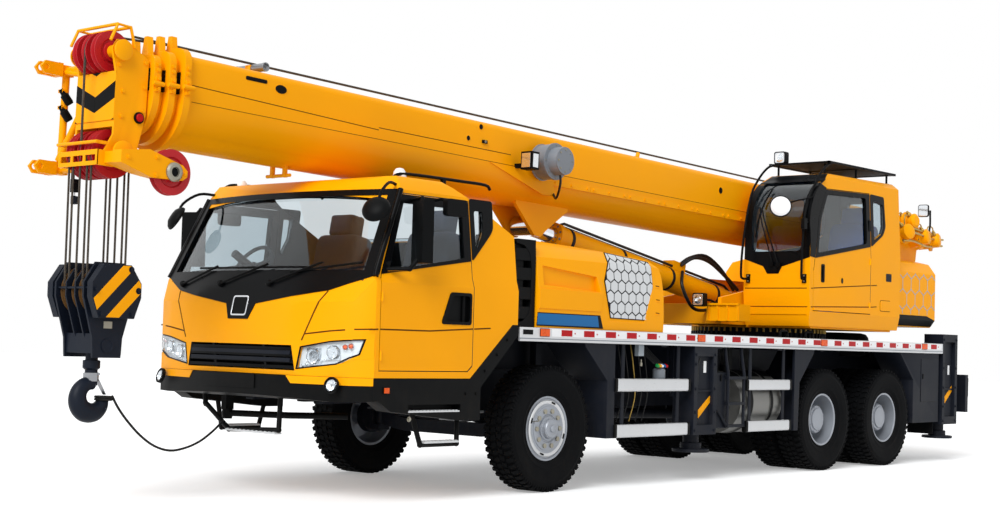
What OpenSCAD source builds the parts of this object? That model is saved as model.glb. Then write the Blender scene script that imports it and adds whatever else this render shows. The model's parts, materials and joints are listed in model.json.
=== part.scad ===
// Mobile crane: three-axle carrier, slewing upper structure and a four-part telescopic boom.
// X forward, Y left, Z up. Inside the modules x is measured from the front axle.

/* [Carrier] */
// front axle to second axle
wheelbase = 4500; // [4400:10:4600]
// second axle to third axle
bogie = 1350; // [1320:10:1380]
// tyre outer radius
tyre_r = 530; // [520:1:535]
// tyre width
tyre_w = 290; // [270:5:295]
// deck height above ground
deck_z = 1372; // [1368:1:1376]
// half width of the carrier body
half_w = 1250; // [1240:1:1252]
// slewing ring radius
ring_r = 730; // [700:5:740]

/* [Driver cab] */
// cab roof height above ground
cab_top = 2490; // [2460:5:2490]
// cab wall thickness
cab_wall = 50; // [45:1:55]
// plan radius of the bowed cab front
cab_bow = 4000; // [3800:50:4300]
// rearward lean of the windscreen
screen_lean = 27; // [26:0.5:28]
// clearance round each door
door_gap = 7; // [6:0.5:9]

/* [Outriggers] */
// width of one sliding beam
beam_w = 180; // [170:5:180]
// height of one sliding beam
beam_h = 320; // [300:5:325]
// jack leg radius
leg_r = 75; // [70:1:80]
// foot pad radius
foot_r = 175; // [160:5:180]

/* [Boom] */
// width of the base section
boom_w = 640; // [625:1:645]
// height of the base section
boom_h = 665; // [655:1:668]
// plate thickness of the sections
boom_wall = 12; // [10:1:14]
// step from each section to the next, all round
boom_step = 35; // [33:0.5:36]
// boom foot pin to the face of the base collar
boom_len = 10184; // [10150:2:10220]
// boom angle on the road
boom_tilt = 1.6; // [1.5:0.05:1.7]
// luffing cylinder barrel radius
barrel_r = 120; // [110:1:125]
// luffing cylinder rod radius
rod_r = 80; // [70:1:85]

/* [Hook] */
// rope falls from head sheave to hook block sheave
fall_len = 980; // [960:5:1000]
// sheave radius to the rope
sheave_r = 162; // [158:0.5:164]
// hook bar radius at its thickest
hook_bar = 52; // [48:1:54]

/* [Hidden] */
$fn = 48;
eps = 0.5;
pin_gap = 0.8;
front_tip = 3950;
rear_x = -wheelbase;
third_x = -wheelbase - bogie;
slew_x = rear_x - 600;
post_front_x = rear_x + 2280;
post_rear_x = rear_x - 2840;
rear_tip = post_rear_x - 640;
front_axle_x = -(front_tip + rear_tip) / 2;
rail_h = 116;
rail_t = 25;
deck_t = 42;
deck_low = deck_z - deck_t;
fender_out = half_w - rail_t - 1;
rim_r = 272;
front_wheel_y = 1050;
rear_outer_y = 1072;
rear_inner_y = 738;
kingpin_y = 800;
pivot_x = slew_x - 1800;
pivot_z = 2450;
boom_low = -121;
boom_mid = boom_low + boom_h / 2;
head_x = boom_len + 433;
head_z = -246;
eye_x = 5895;
eye_z = -275;
lug_x = slew_x + 600;
lug_z = 1750;
jack_y = 1090;
jack_travel = 550;
house_half = 960;
house_w = 460;
house_low = 800;
house_top = 1240;
cell_x = 110;
beam_z = (house_low + house_top) / 2;
belt_z = 1680;
ring_top = 1480;
op_x0 = slew_x - 1000;
op_x1 = slew_x + 950;
op_y0 = 420;
op_y1 = 1220;
op_low = 1500;
op_top = 3150;
op_wall = 45;

// Helpers
function arc(cx, cy, r, a0, a1, n) =
    [for (i = [0:n]) let (a = a0 + (a1 - a0) * i / n) [cx + r * cos(a), cy + r * sin(a)]];
function turned(pts) = [for (i = [len(pts) - 1:-1:0]) [-pts[i][0], pts[i][1]]];
function mix(a, b, t) = a + (b - a) * t;

module place() {
    translate([front_axle_x, 0, 0]) children();
}

module box(a, b) {
    translate(a) cube(b - a);
}

// outline drawn in x and z, pulled along y
module along_y(y0, y1) {
    translate([0, y1, 0]) rotate([90, 0, 0]) linear_extrude(y1 - y0) children();
}

// outline drawn in y and z, pulled along x
module along_x(x0, x1) {
    translate([x0, 0, 0]) rotate([90, 0, 90]) linear_extrude(x1 - x0) children();
}

module both_sides() {
    children();
    mirror([0, 1, 0]) children();
}

module rod_y(x, z, r, y0, y1) {
    translate([x, y0, z]) rotate([-90, 0, 0]) cylinder(r = r, h = y1 - y0);
}

module rod_x(y, z, r, x0, x1) {
    translate([x0, y, z]) rotate([0, 90, 0]) cylinder(r = r, h = x1 - x0);
}

module bar(p, q, r) {
    d = q - p;
    n = norm(d);
    translate(p) rotate([0, acos(d[2] / n), atan2(d[1], d[0])]) cylinder(r = r, h = n);
}

module bent_tube(pts, r) {
    for (i = [0:len(pts) - 2]) bar(pts[i], pts[i + 1], r);
    for (i = [1:len(pts) - 2]) translate(pts[i]) sphere(r = r * 1.15);
}

// Carrier
module outrigger_house(x) {
    box([x - house_w / 2, -house_half, house_low], [x + house_w / 2, house_half, house_top]);
}

module outrigger_cells(x) {
    for (s = [-1, 1]) {
        translate([x + s * cell_x, 0, beam_z]) {
            cube([beam_w + 16, 2 * house_half - 90, beam_h + 16], center = true);
            cube([beam_w + 2 * eps, 2 * house_half + 10, beam_h + 2 * eps], center = true);
        }
    }
}

module chassis_frame() {
    trunk_y = 420;
    rail_y = 425;
    rail_w = 90;
    color("#2b313d") difference() {
        union() {
            box([post_rear_x + 100, -trunk_y, 660], [-1550, trunk_y, deck_low]);
            both_sides() along_y(rail_y - rail_w / 2, rail_y + rail_w / 2)
                polygon([[1900, 720], [1900, 900], [1080, 930], [900, 1000], [-1700, 1010],
                    [-1700, 740], [700, 740]]);
            for (x = [1780, 900, 300]) box([x - 60, -rail_y, 790], [x + 60, rail_y, 880]);
            outrigger_house(post_front_x);
            outrigger_house(post_rear_x);
            translate([slew_x, 0, deck_low - 60])
                cylinder(r = ring_r + 60, h = deck_z - deck_low + 60, $fn = 96);
            for (c = [[-1600, 1200], [post_front_x - 300, 1200], [rear_x + 900, 1200], [rear_x - 675, 780],
                [post_rear_x + 300, 870]])
                box([c[0] - 40, -c[1], deck_low - 90], [c[0] + 40, c[1], deck_low]);
            both_sides() {
                box([-740, 390, deck_low - 90], [-660, 1190, deck_low]);
                box([-740, 390, 980], [-660, 460, deck_low]);
                box([340, 390, deck_low - 60], [400, 1200, deck_low]);
                box([340, 390, 980], [400, 460, deck_low]);
            }
            both_sides() along_y(300, 380)
                polygon([[post_rear_x - 200, 1000], [rear_tip + 70, 720], [rear_tip + 70, 580],
                    [post_rear_x - 200, 820]]);
            box([rear_tip + 10, -1180, 560], [rear_tip + 80, 1180, 720]);
            both_sides() box([rear_tip + 10, 980, 700], [rear_tip + 80, 1180, 1010]);
            for (x = [-450, 450]) both_sides() box([x - 50, 390, 640], [x + 50, 460, 760]);
        }
        outrigger_cells(post_front_x);
        outrigger_cells(post_rear_x);
        translate([rear_x - 2050, 0, 1190]) cylinder(r = tyre_r + 20, h = 300, $fn = 96);
        for (x = [rear_x, third_x]) rod_y(x, tyre_r, 190, -500, 500);
    }
}

module leaf_spring(x, half, y) {
    for (i = [0:3])
        along_y(y - 45, y + 45) polygon([[x - half + 130 * i, 640 - 22 * i], [x, 618 - 22 * i],
            [x + half - 130 * i, 640 - 22 * i], [x + half - 130 * i, 624 - 22 * i], [x, 600 - 22 * i],
            [x - half + 130 * i, 624 - 22 * i]]);
}

module drivetrain() {
    axle_z = tyre_r;
    color("#2b313d") {
        // engine and gearbox as one closed mass
        box([-1300, -330, 640], [150, 330, deck_low]);
        box([min(post_front_x + 680, -1310), -230, 540], [-1290, 230, 1000]);
        // front axle beam
        along_x(-60, 60) polygon([[-752, 470], [-752, 580], [-640, 580], [-480, 535], [480, 535],
            [640, 580],
            [752, 580], [752, 470], [620, 440], [470, 420], [-470, 420], [-620, 440]]);
        both_sides() difference() {
            translate([0, kingpin_y, tyre_r - 62]) cylinder(r = 60, h = 114);
            translate([0, kingpin_y, tyre_r - 80]) cylinder(r = 30 + pin_gap, h = 200);
        }
        both_sides() leaf_spring(0, 520, 425);
        // driven axles
        for (x = [rear_x, third_x]) {
            rod_y(x, axle_z, 95, -rear_outer_y + 92, rear_outer_y - 92);
            translate([x, 0, axle_z]) sphere(r = 180);
            rod_x(0, axle_z, 70, x + 100, x + 260);
        }
        rod_x(0, axle_z, 50, third_x + 180, rear_x - 170);
        bar([rear_x + 220, 0, axle_z], [-1500, 0, 590], 50);
    }
}

module deck() {
    color("#343a46") difference() {
        box([post_rear_x + 200, -half_w + rail_t, deck_low], [484, half_w - rail_t, deck_z]);
        translate([slew_x, 0, deck_low - 10]) cylinder(r = ring_r + 60 + eps, h = 100, $fn = 96);
        translate([rear_x - 2050, 0, deck_low - 10]) cylinder(r = tyre_r + 20, h = 100, $fn = 96);
        box([-1300, -430, deck_low - 10], [150, 430, deck_z + 10]);
    }
}

module side_rails() {
    guard_y = 1190;
    color("#c9ccd1") both_sides() {
        box([post_rear_x + 200, half_w - rail_t, deck_z - rail_h], [484, half_w, deck_z]);
        for (z = [490, 895]) {
            box([post_front_x + 240, guard_y, z - 55], [-842, guard_y + 40, z + 55]);
            box([post_front_x - 1560, guard_y, z - 50], [post_front_x - 740, guard_y + 40, z + 50]);
        }
        for (x = [-1000, post_front_x + 370, post_front_x - 860, post_front_x - 1480]) {
            box([x - 25, guard_y - 14, 440], [x + 25, guard_y, deck_low]);
        }
    }
}

// Driver cab outlines
function cab_side() = [[2360, 950], [2420, 1280], [2330, belt_z], [1960, cab_top - 90], [1800, cab_top],
    [560, cab_top], [520, cab_top - 50], [520, 1385], [585, 1385], [1080, 950]];
function cab_half_front() = [[half_w, 500], [half_w, belt_z - 20], [half_w - 25, belt_z + 60],
    [half_w - 100, cab_top - 110], [half_w - 140, cab_top - 45], [half_w - 210, cab_top + 20]];
function bow(r, y) = -y * y / (2 * r);
function cab_plan() = concat([[300, -half_w], [2130, -half_w]],
    [for (i = [-6:6]) let (y = i * 190) [2420 + bow(cab_bow, y), y]], [[2130, half_w], [300, half_w]]);

module cab_body(t) {
    intersection() {
        along_y(-1400, 1400) offset(delta = -t) polygon(cab_side());
        along_x(0, 2600) offset(delta = -t) polygon(concat(cab_half_front(), turned(cab_half_front())));
        translate([0, 0, 800]) linear_extrude(1800) offset(delta = -t) polygon(cab_plan());
        translate([2330, 0, belt_z]) rotate([0, -screen_lean, 0]) translate([-t, 0, -1200])
            linear_extrude(2400)
            polygon(concat([[-2600, -1300]], [for (i = [-5:5]) let (y = i * 260) [bow(4600, y), y]],
                [[-2600, 1300]]));
    }
}

// a skin of the cab between two depths
module cab_skin(t0, t1) {
    difference() {
        cab_body(t0);
        cab_body(t1);
    }
}

function door_line(g) = [[2085 - g, 1000 + g], [2085 - g, belt_z + 10], [1815 - g, cab_top - 135 - g],
    [1055 + g, cab_top - 135 - g], [1055 + g, 1045 + g], [1110 + g, 1000 + g]];
function door_pane() = [[2000, belt_z + 62], [1800, cab_top - 205], [1130, cab_top - 205],
    [1130, belt_z + 205]];
function quarter_pane() = [[1005, cab_top - 205], [1005, belt_z + 305], [975, belt_z + 285],
    [900, belt_z + 430],
    [890, cab_top - 205]];
function screen_line(g) = [[100 - half_w + g, 60 + g], [170 - half_w + g, 760 - g],
    [half_w - 170 - g, 760 - g], [half_w - 100 - g, 60 + g]];
function rear_pane(g) = [[-800 + g, 1750 + g], [800 - g, 1750 + g], [800 - g, 2250 - g],
    [-800 + g, 2250 - g]];
function head_lamp(g) = [[655 + g, 1000 + g], [690 + g, 1165 - g], [960, 1215 - g], [1400, 1250 - g],
    [1400, 1140 + g],
    [1000, 1040 + g]];
function grille_line(g) = [[-640 + g, 985 + g], [640 - g, 985 + g], [600 - g, 1175 - g],
    [-600 + g, 1175 - g]];

module screen_cut(g) {
    translate([2330, 0, belt_z]) rotate([0, -screen_lean, 0]) along_x(-400, 300) polygon(screen_line(g));
}

module cab_shell() {
    color("#f5a70c") difference() {
        cab_skin(0, cab_wall);
        along_y(1000, 1400) polygon(door_line(0));
        mirror([0, 1, 0]) along_y(1000, 1400) polygon(door_line(0));
        both_sides() along_y(900, 1400) polygon(quarter_pane());
        screen_cut(0);
        along_x(400, 700) polygon(rear_pane(0));
        both_sides() along_x(2120, 2600) polygon(head_lamp(0));
        along_x(2200, 2600) polygon(grille_line(0));
    }
}

module cab_glass() {
    color("#6f8890") {
        intersection() {
            cab_skin(18, 26);
            screen_cut(eps);
        }
        intersection() {
            cab_skin(18, 26);
            along_x(400, 700) polygon(rear_pane(eps));
        }
        both_sides() intersection() {
            cab_skin(12, 20);
            along_y(1000, 1400) offset(delta = -eps) polygon(quarter_pane());
        }
    }
}

module door_blank() {
    intersection() {
        cab_skin(0, cab_wall);
        along_y(1000, 1400) polygon(door_line(door_gap));
    }
}

module mirror_arms() {
    bent_tube([[1690, 1135, 2300], [1760, 1330, 2310], [1800, 1370, 2240]], 16);
    bent_tube([[2015, 1200, 1760], [1870, 1330, 1770], [1810, 1370, 1860]], 18);
    translate([1790, 1375, 2050]) rotate([0, 0, -20]) cube([90, 190, 470], center = true);
}

module door() {
    color("#f5a70c") {
        difference() {
            door_blank();
            along_y(1000, 1400) polygon(door_pane());
            box([1100, half_w - 28, 1385], [1400, half_w + 10, 1600]);
        }
        bar([1160, half_w - 20, 1384.5], [1160, half_w - 20, 1600.5], 13);
        for (z = [1080, 1520]) translate([2070, half_w + 3, z]) cylinder(r = 10, h = 70);
        translate([0, half_w - 1250, 0]) mirror_arms();
    }
}

module door_left() {
    door();
}

module door_right() {
    mirror([0, 1, 0]) door();
}

module grille_slats() {
    intersection() {
        cab_skin(6, 48);
        along_x(2200, 2600) polygon(grille_line(eps));
        union() {
            for (i = [0:3]) box([2200, -700, 995 + 46 * i], [2600, 700, 1020 + 46 * i]);
            for (y = [-645, -310, 290, 620]) box([2200, y, 900], [2600, y + 25, 1300]);
        }
    }
}

module bumper() {
    skirt = [[2460, 945], [2460, 800], [2300, 765], [2080, 780], [1950, 700], [1150, 620], [950, 620],
        [950, 880],
        [512, 1300], [512, 1384], [584, 1384], [1079, 945]];
    color("#1d2026") {
        difference() {
            intersection() {
                along_y(-1400, 1400) polygon(skirt);
                translate([0, 0, 500]) linear_extrude(1000) polygon(cab_plan());
            }
            box([300, 150 - half_w, 500], [2080, half_w - 150, 1500]);
            both_sides() box([1180, half_w - 90, 690], [1760, half_w + 10, 750]);
        }
        // steps under the doors and the tie frame under the front
        both_sides() translate([0, half_w - 1250, 0])
            bent_tube([[1640, 1160, 700], [1560, 1190, 440], [1150, 1190, 440], [1120, 1160, 640]], 20);
        bent_tube([[2250, -560, 800], [2250, -550, 690], [2250, -245, 495], [2250, 350, 520],
            [2250, 360, 800]], 20);
        both_sides() box([1910, 380, 740], [2100, 460, 886]);
        grille_slats();
    }
}

module lamps() {
    color("#dfe6ea") {
        both_sides() intersection() {
            cab_skin(4, 44);
            along_x(2120, 2600) polygon(head_lamp(eps));
        }
        both_sides() translate([2330, 1022, 886]) rotate([0, 75, 12]) cylinder(r = 48, h = 26);
        both_sides() box([rear_tip, 990, 760], [rear_tip + 10, 1170, 960]);
    }
}

module seat(x, y, z) {
    translate([x, y, z]) {
        along_y(-240, 240) polygon([[0, 0], [520, 40], [500, 180], [120, 150], [-60, 800],
            [-190, 800], [-90, 60]]);
        box([210, -140, -300], [400, 140, 60]);
        along_y(-130, 130) polygon([[-75, 830], [-195, 830], [-205, 1000], [-110, 1000]]);
        box([-170, -20, 780], [-130, 20, 840]);
    }
}

module cab_interior() {
    floor_z = 1000;
    color("#3b4048") {
        both_sides() seat(900, 560, 1300);
        along_y(-1000, 1000) polygon([[2040, floor_z], [2130, 1250], [2110, 1620], [1950, 1690],
            [1880, 1520], [1960, 1300],
            [1960, floor_z]]);
        translate([1800, -560, 1790]) rotate([0, 60, 0]) mirror([0, 0, 1]) {
            rotate_extrude() translate([210, 0]) circle(r = 16);
            cylinder(r = 55, h = 40, center = true);
            for (a = [0, 120, 240]) rotate([0, 0, a]) translate([105, 0, 0])
                cube([210, 34, 16], center = true);
            translate([0, 0, -230]) cylinder(r = 34, h = 225);
        }
    }
}

module engine_hood() {
    side = [[240, deck_z], [240, 2090], [212, 2118], [-400, 2090], [-1380, 2018], [-1500, 1950],
        [-1530, 1860],
        [-1560, deck_z]];
    half = [[1205, 1300], [1222, 1500], [1222, 1720], [1190, 1960], [1110, 2060], [960, 2120]];
    color("#f5a70c") difference() {
        intersection() {
            along_y(-1400, 1400) polygon(side);
            along_x(-2000, 600) polygon(concat(half, turned(half)));
        }
        both_sides() along_y(1175, 1300) polygon([[165, 1890], [-560, 1830], [-600, 1700], [165, 1730]]);
        both_sides() along_y(1212, 1300)
            polygon([[-700, 2050], [-1330, 2000], [-1360, 1760], [-1250, 1450], [-740, 1450],
                [-640, 1760]]);
    }
}

module air_intake() {
    color("#15171b") {
        box([252, -1100, deck_z], [380, 1100, 2095]);
        both_sides() {
            box([370, 1020, deck_z], [500, 1165, 2080]);
            box([252, 1090, deck_z], [270, 1195, 2095]);
            for (i = [0:3]) box([300, 1090, 1440 + 160 * i], [505, 1195, 1540 + 160 * i]);
        }
    }
}

module mud_panel(pts, lip) {
    along_y(fender_out - 30, fender_out) polygon(pts);
    along_y(800, fender_out - 30) polygon(lip);
}

module fenders() {
    color("#2b313d") both_sides() {
        mud_panel([[-380, deck_low], [-838, deck_low], [-838, 430], [-730, 430], [-730, 930], [-410, 1225]],
            [[-380, deck_low], [-410, 1225], [-730, 930], [-730, 430], [-755, 430], [-755, 940],
                [-430, 1250], [-405, deck_low]]);
        mud_panel([[rear_x + 645, deck_low], [rear_x + 230, deck_low], [rear_x + 265, 1220],
            [rear_x + 540, 920],
            [rear_x + 560, 430], [rear_x + 645, 430]],
            [[rear_x + 230, deck_low], [rear_x + 265, 1220], [rear_x + 540, 920], [rear_x + 560, 430],
            [rear_x + 585, 430], [rear_x + 565, 930], [rear_x + 290, 1240], [rear_x + 255, deck_low]]);
        along_y(880, fender_out) polygon([[third_x - 230, deck_low], [third_x - 1240, deck_low],
            [third_x - 1240, 460],
            [third_x - 600, 460], [third_x - 600, 950], [third_x - 290, 1240]]);
        box([third_x - 240, 790, deck_low - 40], [rear_x + 240, fender_out - 20, deck_low]);
    }
}

module fuel_tank() {
    tank_z = 720;
    color("#b9bcc0") {
        difference() {
            rod_x(855, tank_z, 310, post_front_x - 1495, post_front_x - 735);
            box([post_front_x - 1580, 1100, 0], [post_front_x - 680, 1300, 400]);
        }
        for (x = [post_front_x - 930, post_front_x - 1300]) {
            rod_x(855, tank_z, 318, x - 25, x + 25);
            box([x - 25, 800, tank_z + 250], [x + 25, 910, deck_low]);
        }
        translate([post_front_x - 840, 900, tank_z + 250]) cylinder(r = 55, h = 110);
    }
}

module tyre_solid(w) {
    h = w / 2;
    rotate_extrude($fn = 64) polygon([[rim_r, -h * 0.72], [tyre_r * 0.8, -h],
        [tyre_r - 30, -h * 0.94], [tyre_r, -h * 0.72],
        [tyre_r, h * 0.72], [tyre_r - 30, h * 0.94], [tyre_r * 0.8, h], [rim_r, h * 0.72]]);
}

module at_wheel(x, y) {
    translate([x, y, tyre_r]) rotate([-90, 0, 0]) children();
}

module spare_wheel() {
    color("#17181b") translate([rear_x - 2050, 0, 1190 + tyre_w / 2]) {
        tyre_solid(tyre_w);
        difference() {
            rotate_extrude($fn = 64) polygon([[90, 20], [rim_r - 40, 20],
                [rim_r - 20, -tyre_w * 0.36], [rim_r + 1, -tyre_w * 0.36],
                [rim_r + 1, tyre_w * 0.36], [rim_r - 20, tyre_w * 0.36], [rim_r - 30, 45], [90, 45]]);
        }
        translate([0, 0, -tyre_w / 2]) cylinder(r = 90, h = tyre_w / 2 + 60);
    }
}

module slew_ring() {
    color("#20242b") translate([slew_x, 0, deck_z]) difference() {
        union() {
            cylinder(r = ring_r - 60, h = ring_top - deck_z - eps, $fn = 96);
            cylinder(r = ring_r, h = 70, $fn = 96);
            for (i = [0:71]) rotate([0, 0, i * 5]) translate([ring_r - 2, -14, 8]) cube([24, 28, 54]);
        }
        translate([0, 0, -1]) cylinder(r = ring_r - 170, h = 200, $fn = 96);
    }
}

// Cord from the tie frame to the hook
tether_r = 9;
tether_route = [[2263, -300, 561], [2380, -280, 480], [2540, -240, 405], [2720, -190, 362],
    [2900, -140, 352],
    [3080, -90, 395], [3240, -50, 480], [3380, -20, 590], [3480, 0, 690], [3535, 0, 775]];
function ring_at(p, d, r, n) = let (h = [-d[1], d[0], 0] / norm([d[0], d[1], 0]), v = cross(d, h) / norm(d))
    [for (i = [0:n - 1]) p + r * cos(360 * i / n) * h + r * sin(360 * i / n) * v];
function heading(pts, i) = pts[min(i + 1, len(pts) - 1)] - pts[max(i - 1, 0)];

module swept_tube(pts, r, n) {
    last = len(pts) - 1;
    rings = [for (i = [0:last]) each ring_at(pts[i], heading(pts, i), r, n)];
    sides = [for (i = [0:last - 1]) for (j = [0:n - 1])
        [i * n + j, i * n + (j + 1) % n, (i + 1) * n + (j + 1) % n, (i + 1) * n + j]];
    ends = [[for (j = [n - 1:-1:0]) j], [for (j = [0:n - 1]) last * n + j]];
    polyhedron(points = rings, faces = concat(sides, ends));
}

module tether() {
    color("#202020") swept_tube(tether_route, tether_r, 8);
}

// Steering and wheels
module knuckle() {
    color("#2b313d") {
        union() {
            translate([0, kingpin_y, tyre_r - 120]) cylinder(r = 30, h = 240);
            translate([0, kingpin_y, tyre_r - 120]) cylinder(r = 65, h = 50);
            translate([0, kingpin_y, tyre_r + 60]) cylinder(r = 65, h = 60);
            box([-60, kingpin_y + 66, tyre_r - 120], [60, kingpin_y + 110, tyre_r + 120]);
            box([-60, kingpin_y, tyre_r - 120], [60, kingpin_y + 80, tyre_r - 70]);
            box([-60, kingpin_y, tyre_r + 60], [60, kingpin_y + 80, tyre_r + 120]);
            rod_y(0, tyre_r, 150, kingpin_y + 108, kingpin_y + 190);
            rod_y(0, tyre_r, 55, kingpin_y + 180, front_wheel_y + 60);
        }
    }
}

module knuckle_left() {
    knuckle();
}

module knuckle_right() {
    mirror([0, 1, 0]) knuckle();
}

module rim_profile(w, dish, hub) {
    e = w * 0.36;
    polygon([[hub, dish - 12], [205, dish - 12], [rim_r - 34, dish - 50], [rim_r - 22, -e],
        [rim_r - 0.5, -e - 4],
        [rim_r - 0.5, e + 4], [rim_r - 20, e], [rim_r - 22, dish + 2], [200, dish + 16], [hub, dish + 16]]);
}

module front_rim() {
    color("#c4c8cd") {
        rotate_extrude($fn = 64) rim_profile(tyre_w, 96, 70);
        difference() {
            cylinder(r = 85, h = 158);
            translate([0, 0, -1]) cylinder(r = 55 + pin_gap, h = 112);
        }
    }
}

module rear_rims() {
    span = rear_outer_y - rear_inner_y;
    color("#c4c8cd") {
        rotate_extrude($fn = 64) rim_profile(tyre_w, -118, 130);
        translate([0, 0, -span]) mirror([0, 0, 1]) rotate_extrude($fn = 64) rim_profile(tyre_w, -118, 130);
        difference() {
            translate([0, 0, -span + 90]) cylinder(r = 150, h = span - 60);
            translate([0, 0, -span - 1]) cylinder(r = 95 + pin_gap, h = span - 80);
        }
    }
}

module twin_tyres() {
    color("#17181b") {
        tyre_solid(tyre_w);
        translate([0, 0, rear_inner_y - rear_outer_y]) tyre_solid(tyre_w);
    }
}

module tyre_front_left() {
    color("#17181b") at_wheel(0, front_wheel_y) tyre_solid(tyre_w);
}

module tyre_front_right() {
    mirror([0, 1, 0]) tyre_front_left();
}

module rim_front_left() {
    at_wheel(0, front_wheel_y) front_rim();
}

module rim_front_right() {
    mirror([0, 1, 0]) rim_front_left();
}

module tyre_second_left() {
    at_wheel(rear_x, rear_outer_y) twin_tyres();
}

module tyre_second_right() {
    mirror([0, 1, 0]) tyre_second_left();
}

module rim_second_left() {
    at_wheel(rear_x, rear_outer_y) rear_rims();
}

module rim_second_right() {
    mirror([0, 1, 0]) rim_second_left();
}

module tyre_third_left() {
    at_wheel(third_x, rear_outer_y) twin_tyres();
}

module tyre_third_right() {
    mirror([0, 1, 0]) tyre_third_left();
}

module rim_third_left() {
    at_wheel(third_x, rear_outer_y) rear_rims();
}

module rim_third_right() {
    mirror([0, 1, 0]) rim_third_left();
}

// Outriggers
module beam(post_x, side, top) {
    color("#2b313d") translate([post_x, 0, 0]) difference() {
        union() {
            box([side * cell_x - beam_w / 2, -house_half + 25, beam_z - beam_h / 2],
                [side * cell_x + beam_w / 2, house_half + 20, beam_z + beam_h / 2]);
            box([-200, house_half + 6, house_low - 20], [200, house_half + 50, house_top]);
            box([-190, house_half + 45, 430], [190, half_w - 5, top]);
        }
        translate([0, jack_y, 520]) cylinder(r = leg_r + 6, h = top - 580);
        translate([0, jack_y, 380]) cylinder(r = leg_r + eps, h = 200);
        box([-130, half_w - 45, 520], [130, half_w + 10, top - 90]);
    }
}

module jack(post_x) {
    color("#8d9299") translate([post_x, jack_y, 0]) {
        translate([0, 0, 310]) cylinder(r = leg_r, h = 820);
        translate([0, 0, 290]) cylinder(r = leg_r + 25, h = 60);
        translate([0, 0, 262]) cylinder(r = foot_r, h = 30);
    }
}

module beam_front_left() {
    beam(post_front_x, 1, 1255);
}

module beam_front_right() {
    mirror([0, 1, 0]) beam(post_front_x, -1, 1255);
}

module beam_rear_left() {
    beam(post_rear_x, 1, 1485);
}

module beam_rear_right() {
    mirror([0, 1, 0]) beam(post_rear_x, -1, 1485);
}

module jack_front_left() {
    jack(post_front_x);
}

module jack_front_right() {
    mirror([0, 1, 0]) jack(post_front_x);
}

module jack_rear_left() {
    jack(post_rear_x);
}

module jack_rear_right() {
    mirror([0, 1, 0]) jack(post_rear_x);
}

// Upper structure
plate_in = 345;
plate_out = 385;

module turntable() {
    cheek = [[slew_x + 1350, ring_top + 20], [slew_x + 1350, 1780], [slew_x + 700, 1900],
        [slew_x - 900, 2050],
        [pivot_x + 130, 2560], [pivot_x + 60, 2610], [pivot_x - 60, 2610], [pivot_x - 130, 2560],
            [pivot_x - 160, 2350],
        [pivot_x - 160, 1600], [pivot_x + 60, ring_top + 20]];
    color("#f5a70c") {
        difference() {
            union() {
                both_sides() along_y(plate_in, plate_out) polygon(cheek);
                translate([slew_x, 0, ring_top]) cylinder(r = ring_r + 20, h = op_low - ring_top, $fn = 96);
                translate([slew_x, 0, ring_top]) cylinder(r = op_y0 - 10, h = 60, $fn = 96);
                box([pivot_x - 100, -plate_in - 10, ring_top + 20],
                    [slew_x + 1350, plate_in + 10, ring_top + 70]);
                box([slew_x + 1300, -plate_in - 10, ring_top + 20], [slew_x + 1350, plate_in + 10, 1715]);
                both_sides() along_y(140, 190)
                    polygon([[lug_x - 220, ring_top + 40], [lug_x + 220, ring_top + 40],
                        [lug_x + 95, lug_z + 60],
                        [lug_x + 40, lug_z + 105], [lug_x - 40, lug_z + 105], [lug_x - 95, lug_z + 60]]);
                box([op_x0 + 100, plate_out - 10, ring_top], [op_x1 - 100, op_y1 - 60, op_low]);
                // valve housing on the right side
                box([slew_x - 900, -1120, op_low], [slew_x + 500, -plate_in - 10, 2020]);
            }
            rod_y(lug_x, lug_z, 60 + pin_gap, -200, 200);
        }
        rod_y(pivot_x, pivot_z, 70, -plate_out - 20, plate_out + 20);
    }
}

module winch_drum(x, z) {
    rod_y(x, z, 170, -plate_in + 5, plate_in - 5);
    for (s = [-1, 1]) rod_y(x, z, 270, s * (plate_in - 65) - 12, s * (plate_in - 65) + 12);
    rod_y(x, z, 60, -plate_in, plate_in);
}

module winches() {
    color("#8d7a3f") {
        winch_drum(slew_x - 950, 1840);
        winch_drum(slew_x - 1560, 1840);
    }
}

module counterweight() {
    half = [[plate_out, 1555], [1090, 1555], [1150, 1640], [1150, 2180], [1060, 2300], [900, 2335],
        [plate_out, 2335]];
    color("#f5a70c") {
        both_sides() along_x(op_x0 - 1020, op_x0 - 60) polygon(half);
        along_x(op_x0 - 1080, op_x0 - 1000)
            polygon([[-1040, 1590], [1040, 1590], [1090, 1680], [1090, 2120], [-1090, 2120],
                [-1090, 1680]]);
    }
}

// Operator cab outlines
function op_side() = concat([[op_x1 - 30, op_low], [op_x1, 1560], [op_x1 + 30, 1850]],
    arc(op_x1 - 520, 2560, 545, -8, 68, 7), [[op_x1 - 420, op_top - 20], [op_x0 + 40, op_top],
        [op_x0, op_top - 60],
    [op_x0, op_low]]);
function op_front() = [[op_y0, op_low], [op_y1 - 30, op_low], [op_y1, op_low + 150], [op_y1, 2300],
    [op_y1 - 40, op_top - 60],
    [op_y1 - 110, op_top + 10], [op_y0 + 60, op_top + 10], [op_y0, op_top - 80]];

function op_roof(x) = op_top - 20 * (x - op_x0 - 40) / (op_x1 - op_x0 - 460);

module op_body(t) {
    intersection() {
        along_y(0, 1500) offset(delta = -t) polygon(op_side());
        along_x(op_x0 - 100, op_x1 + 200) offset(delta = -t) polygon(op_front());
    }
}

module op_skin(t0, t1) {
    difference() {
        op_body(t0);
        op_body(t1);
    }
}

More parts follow.
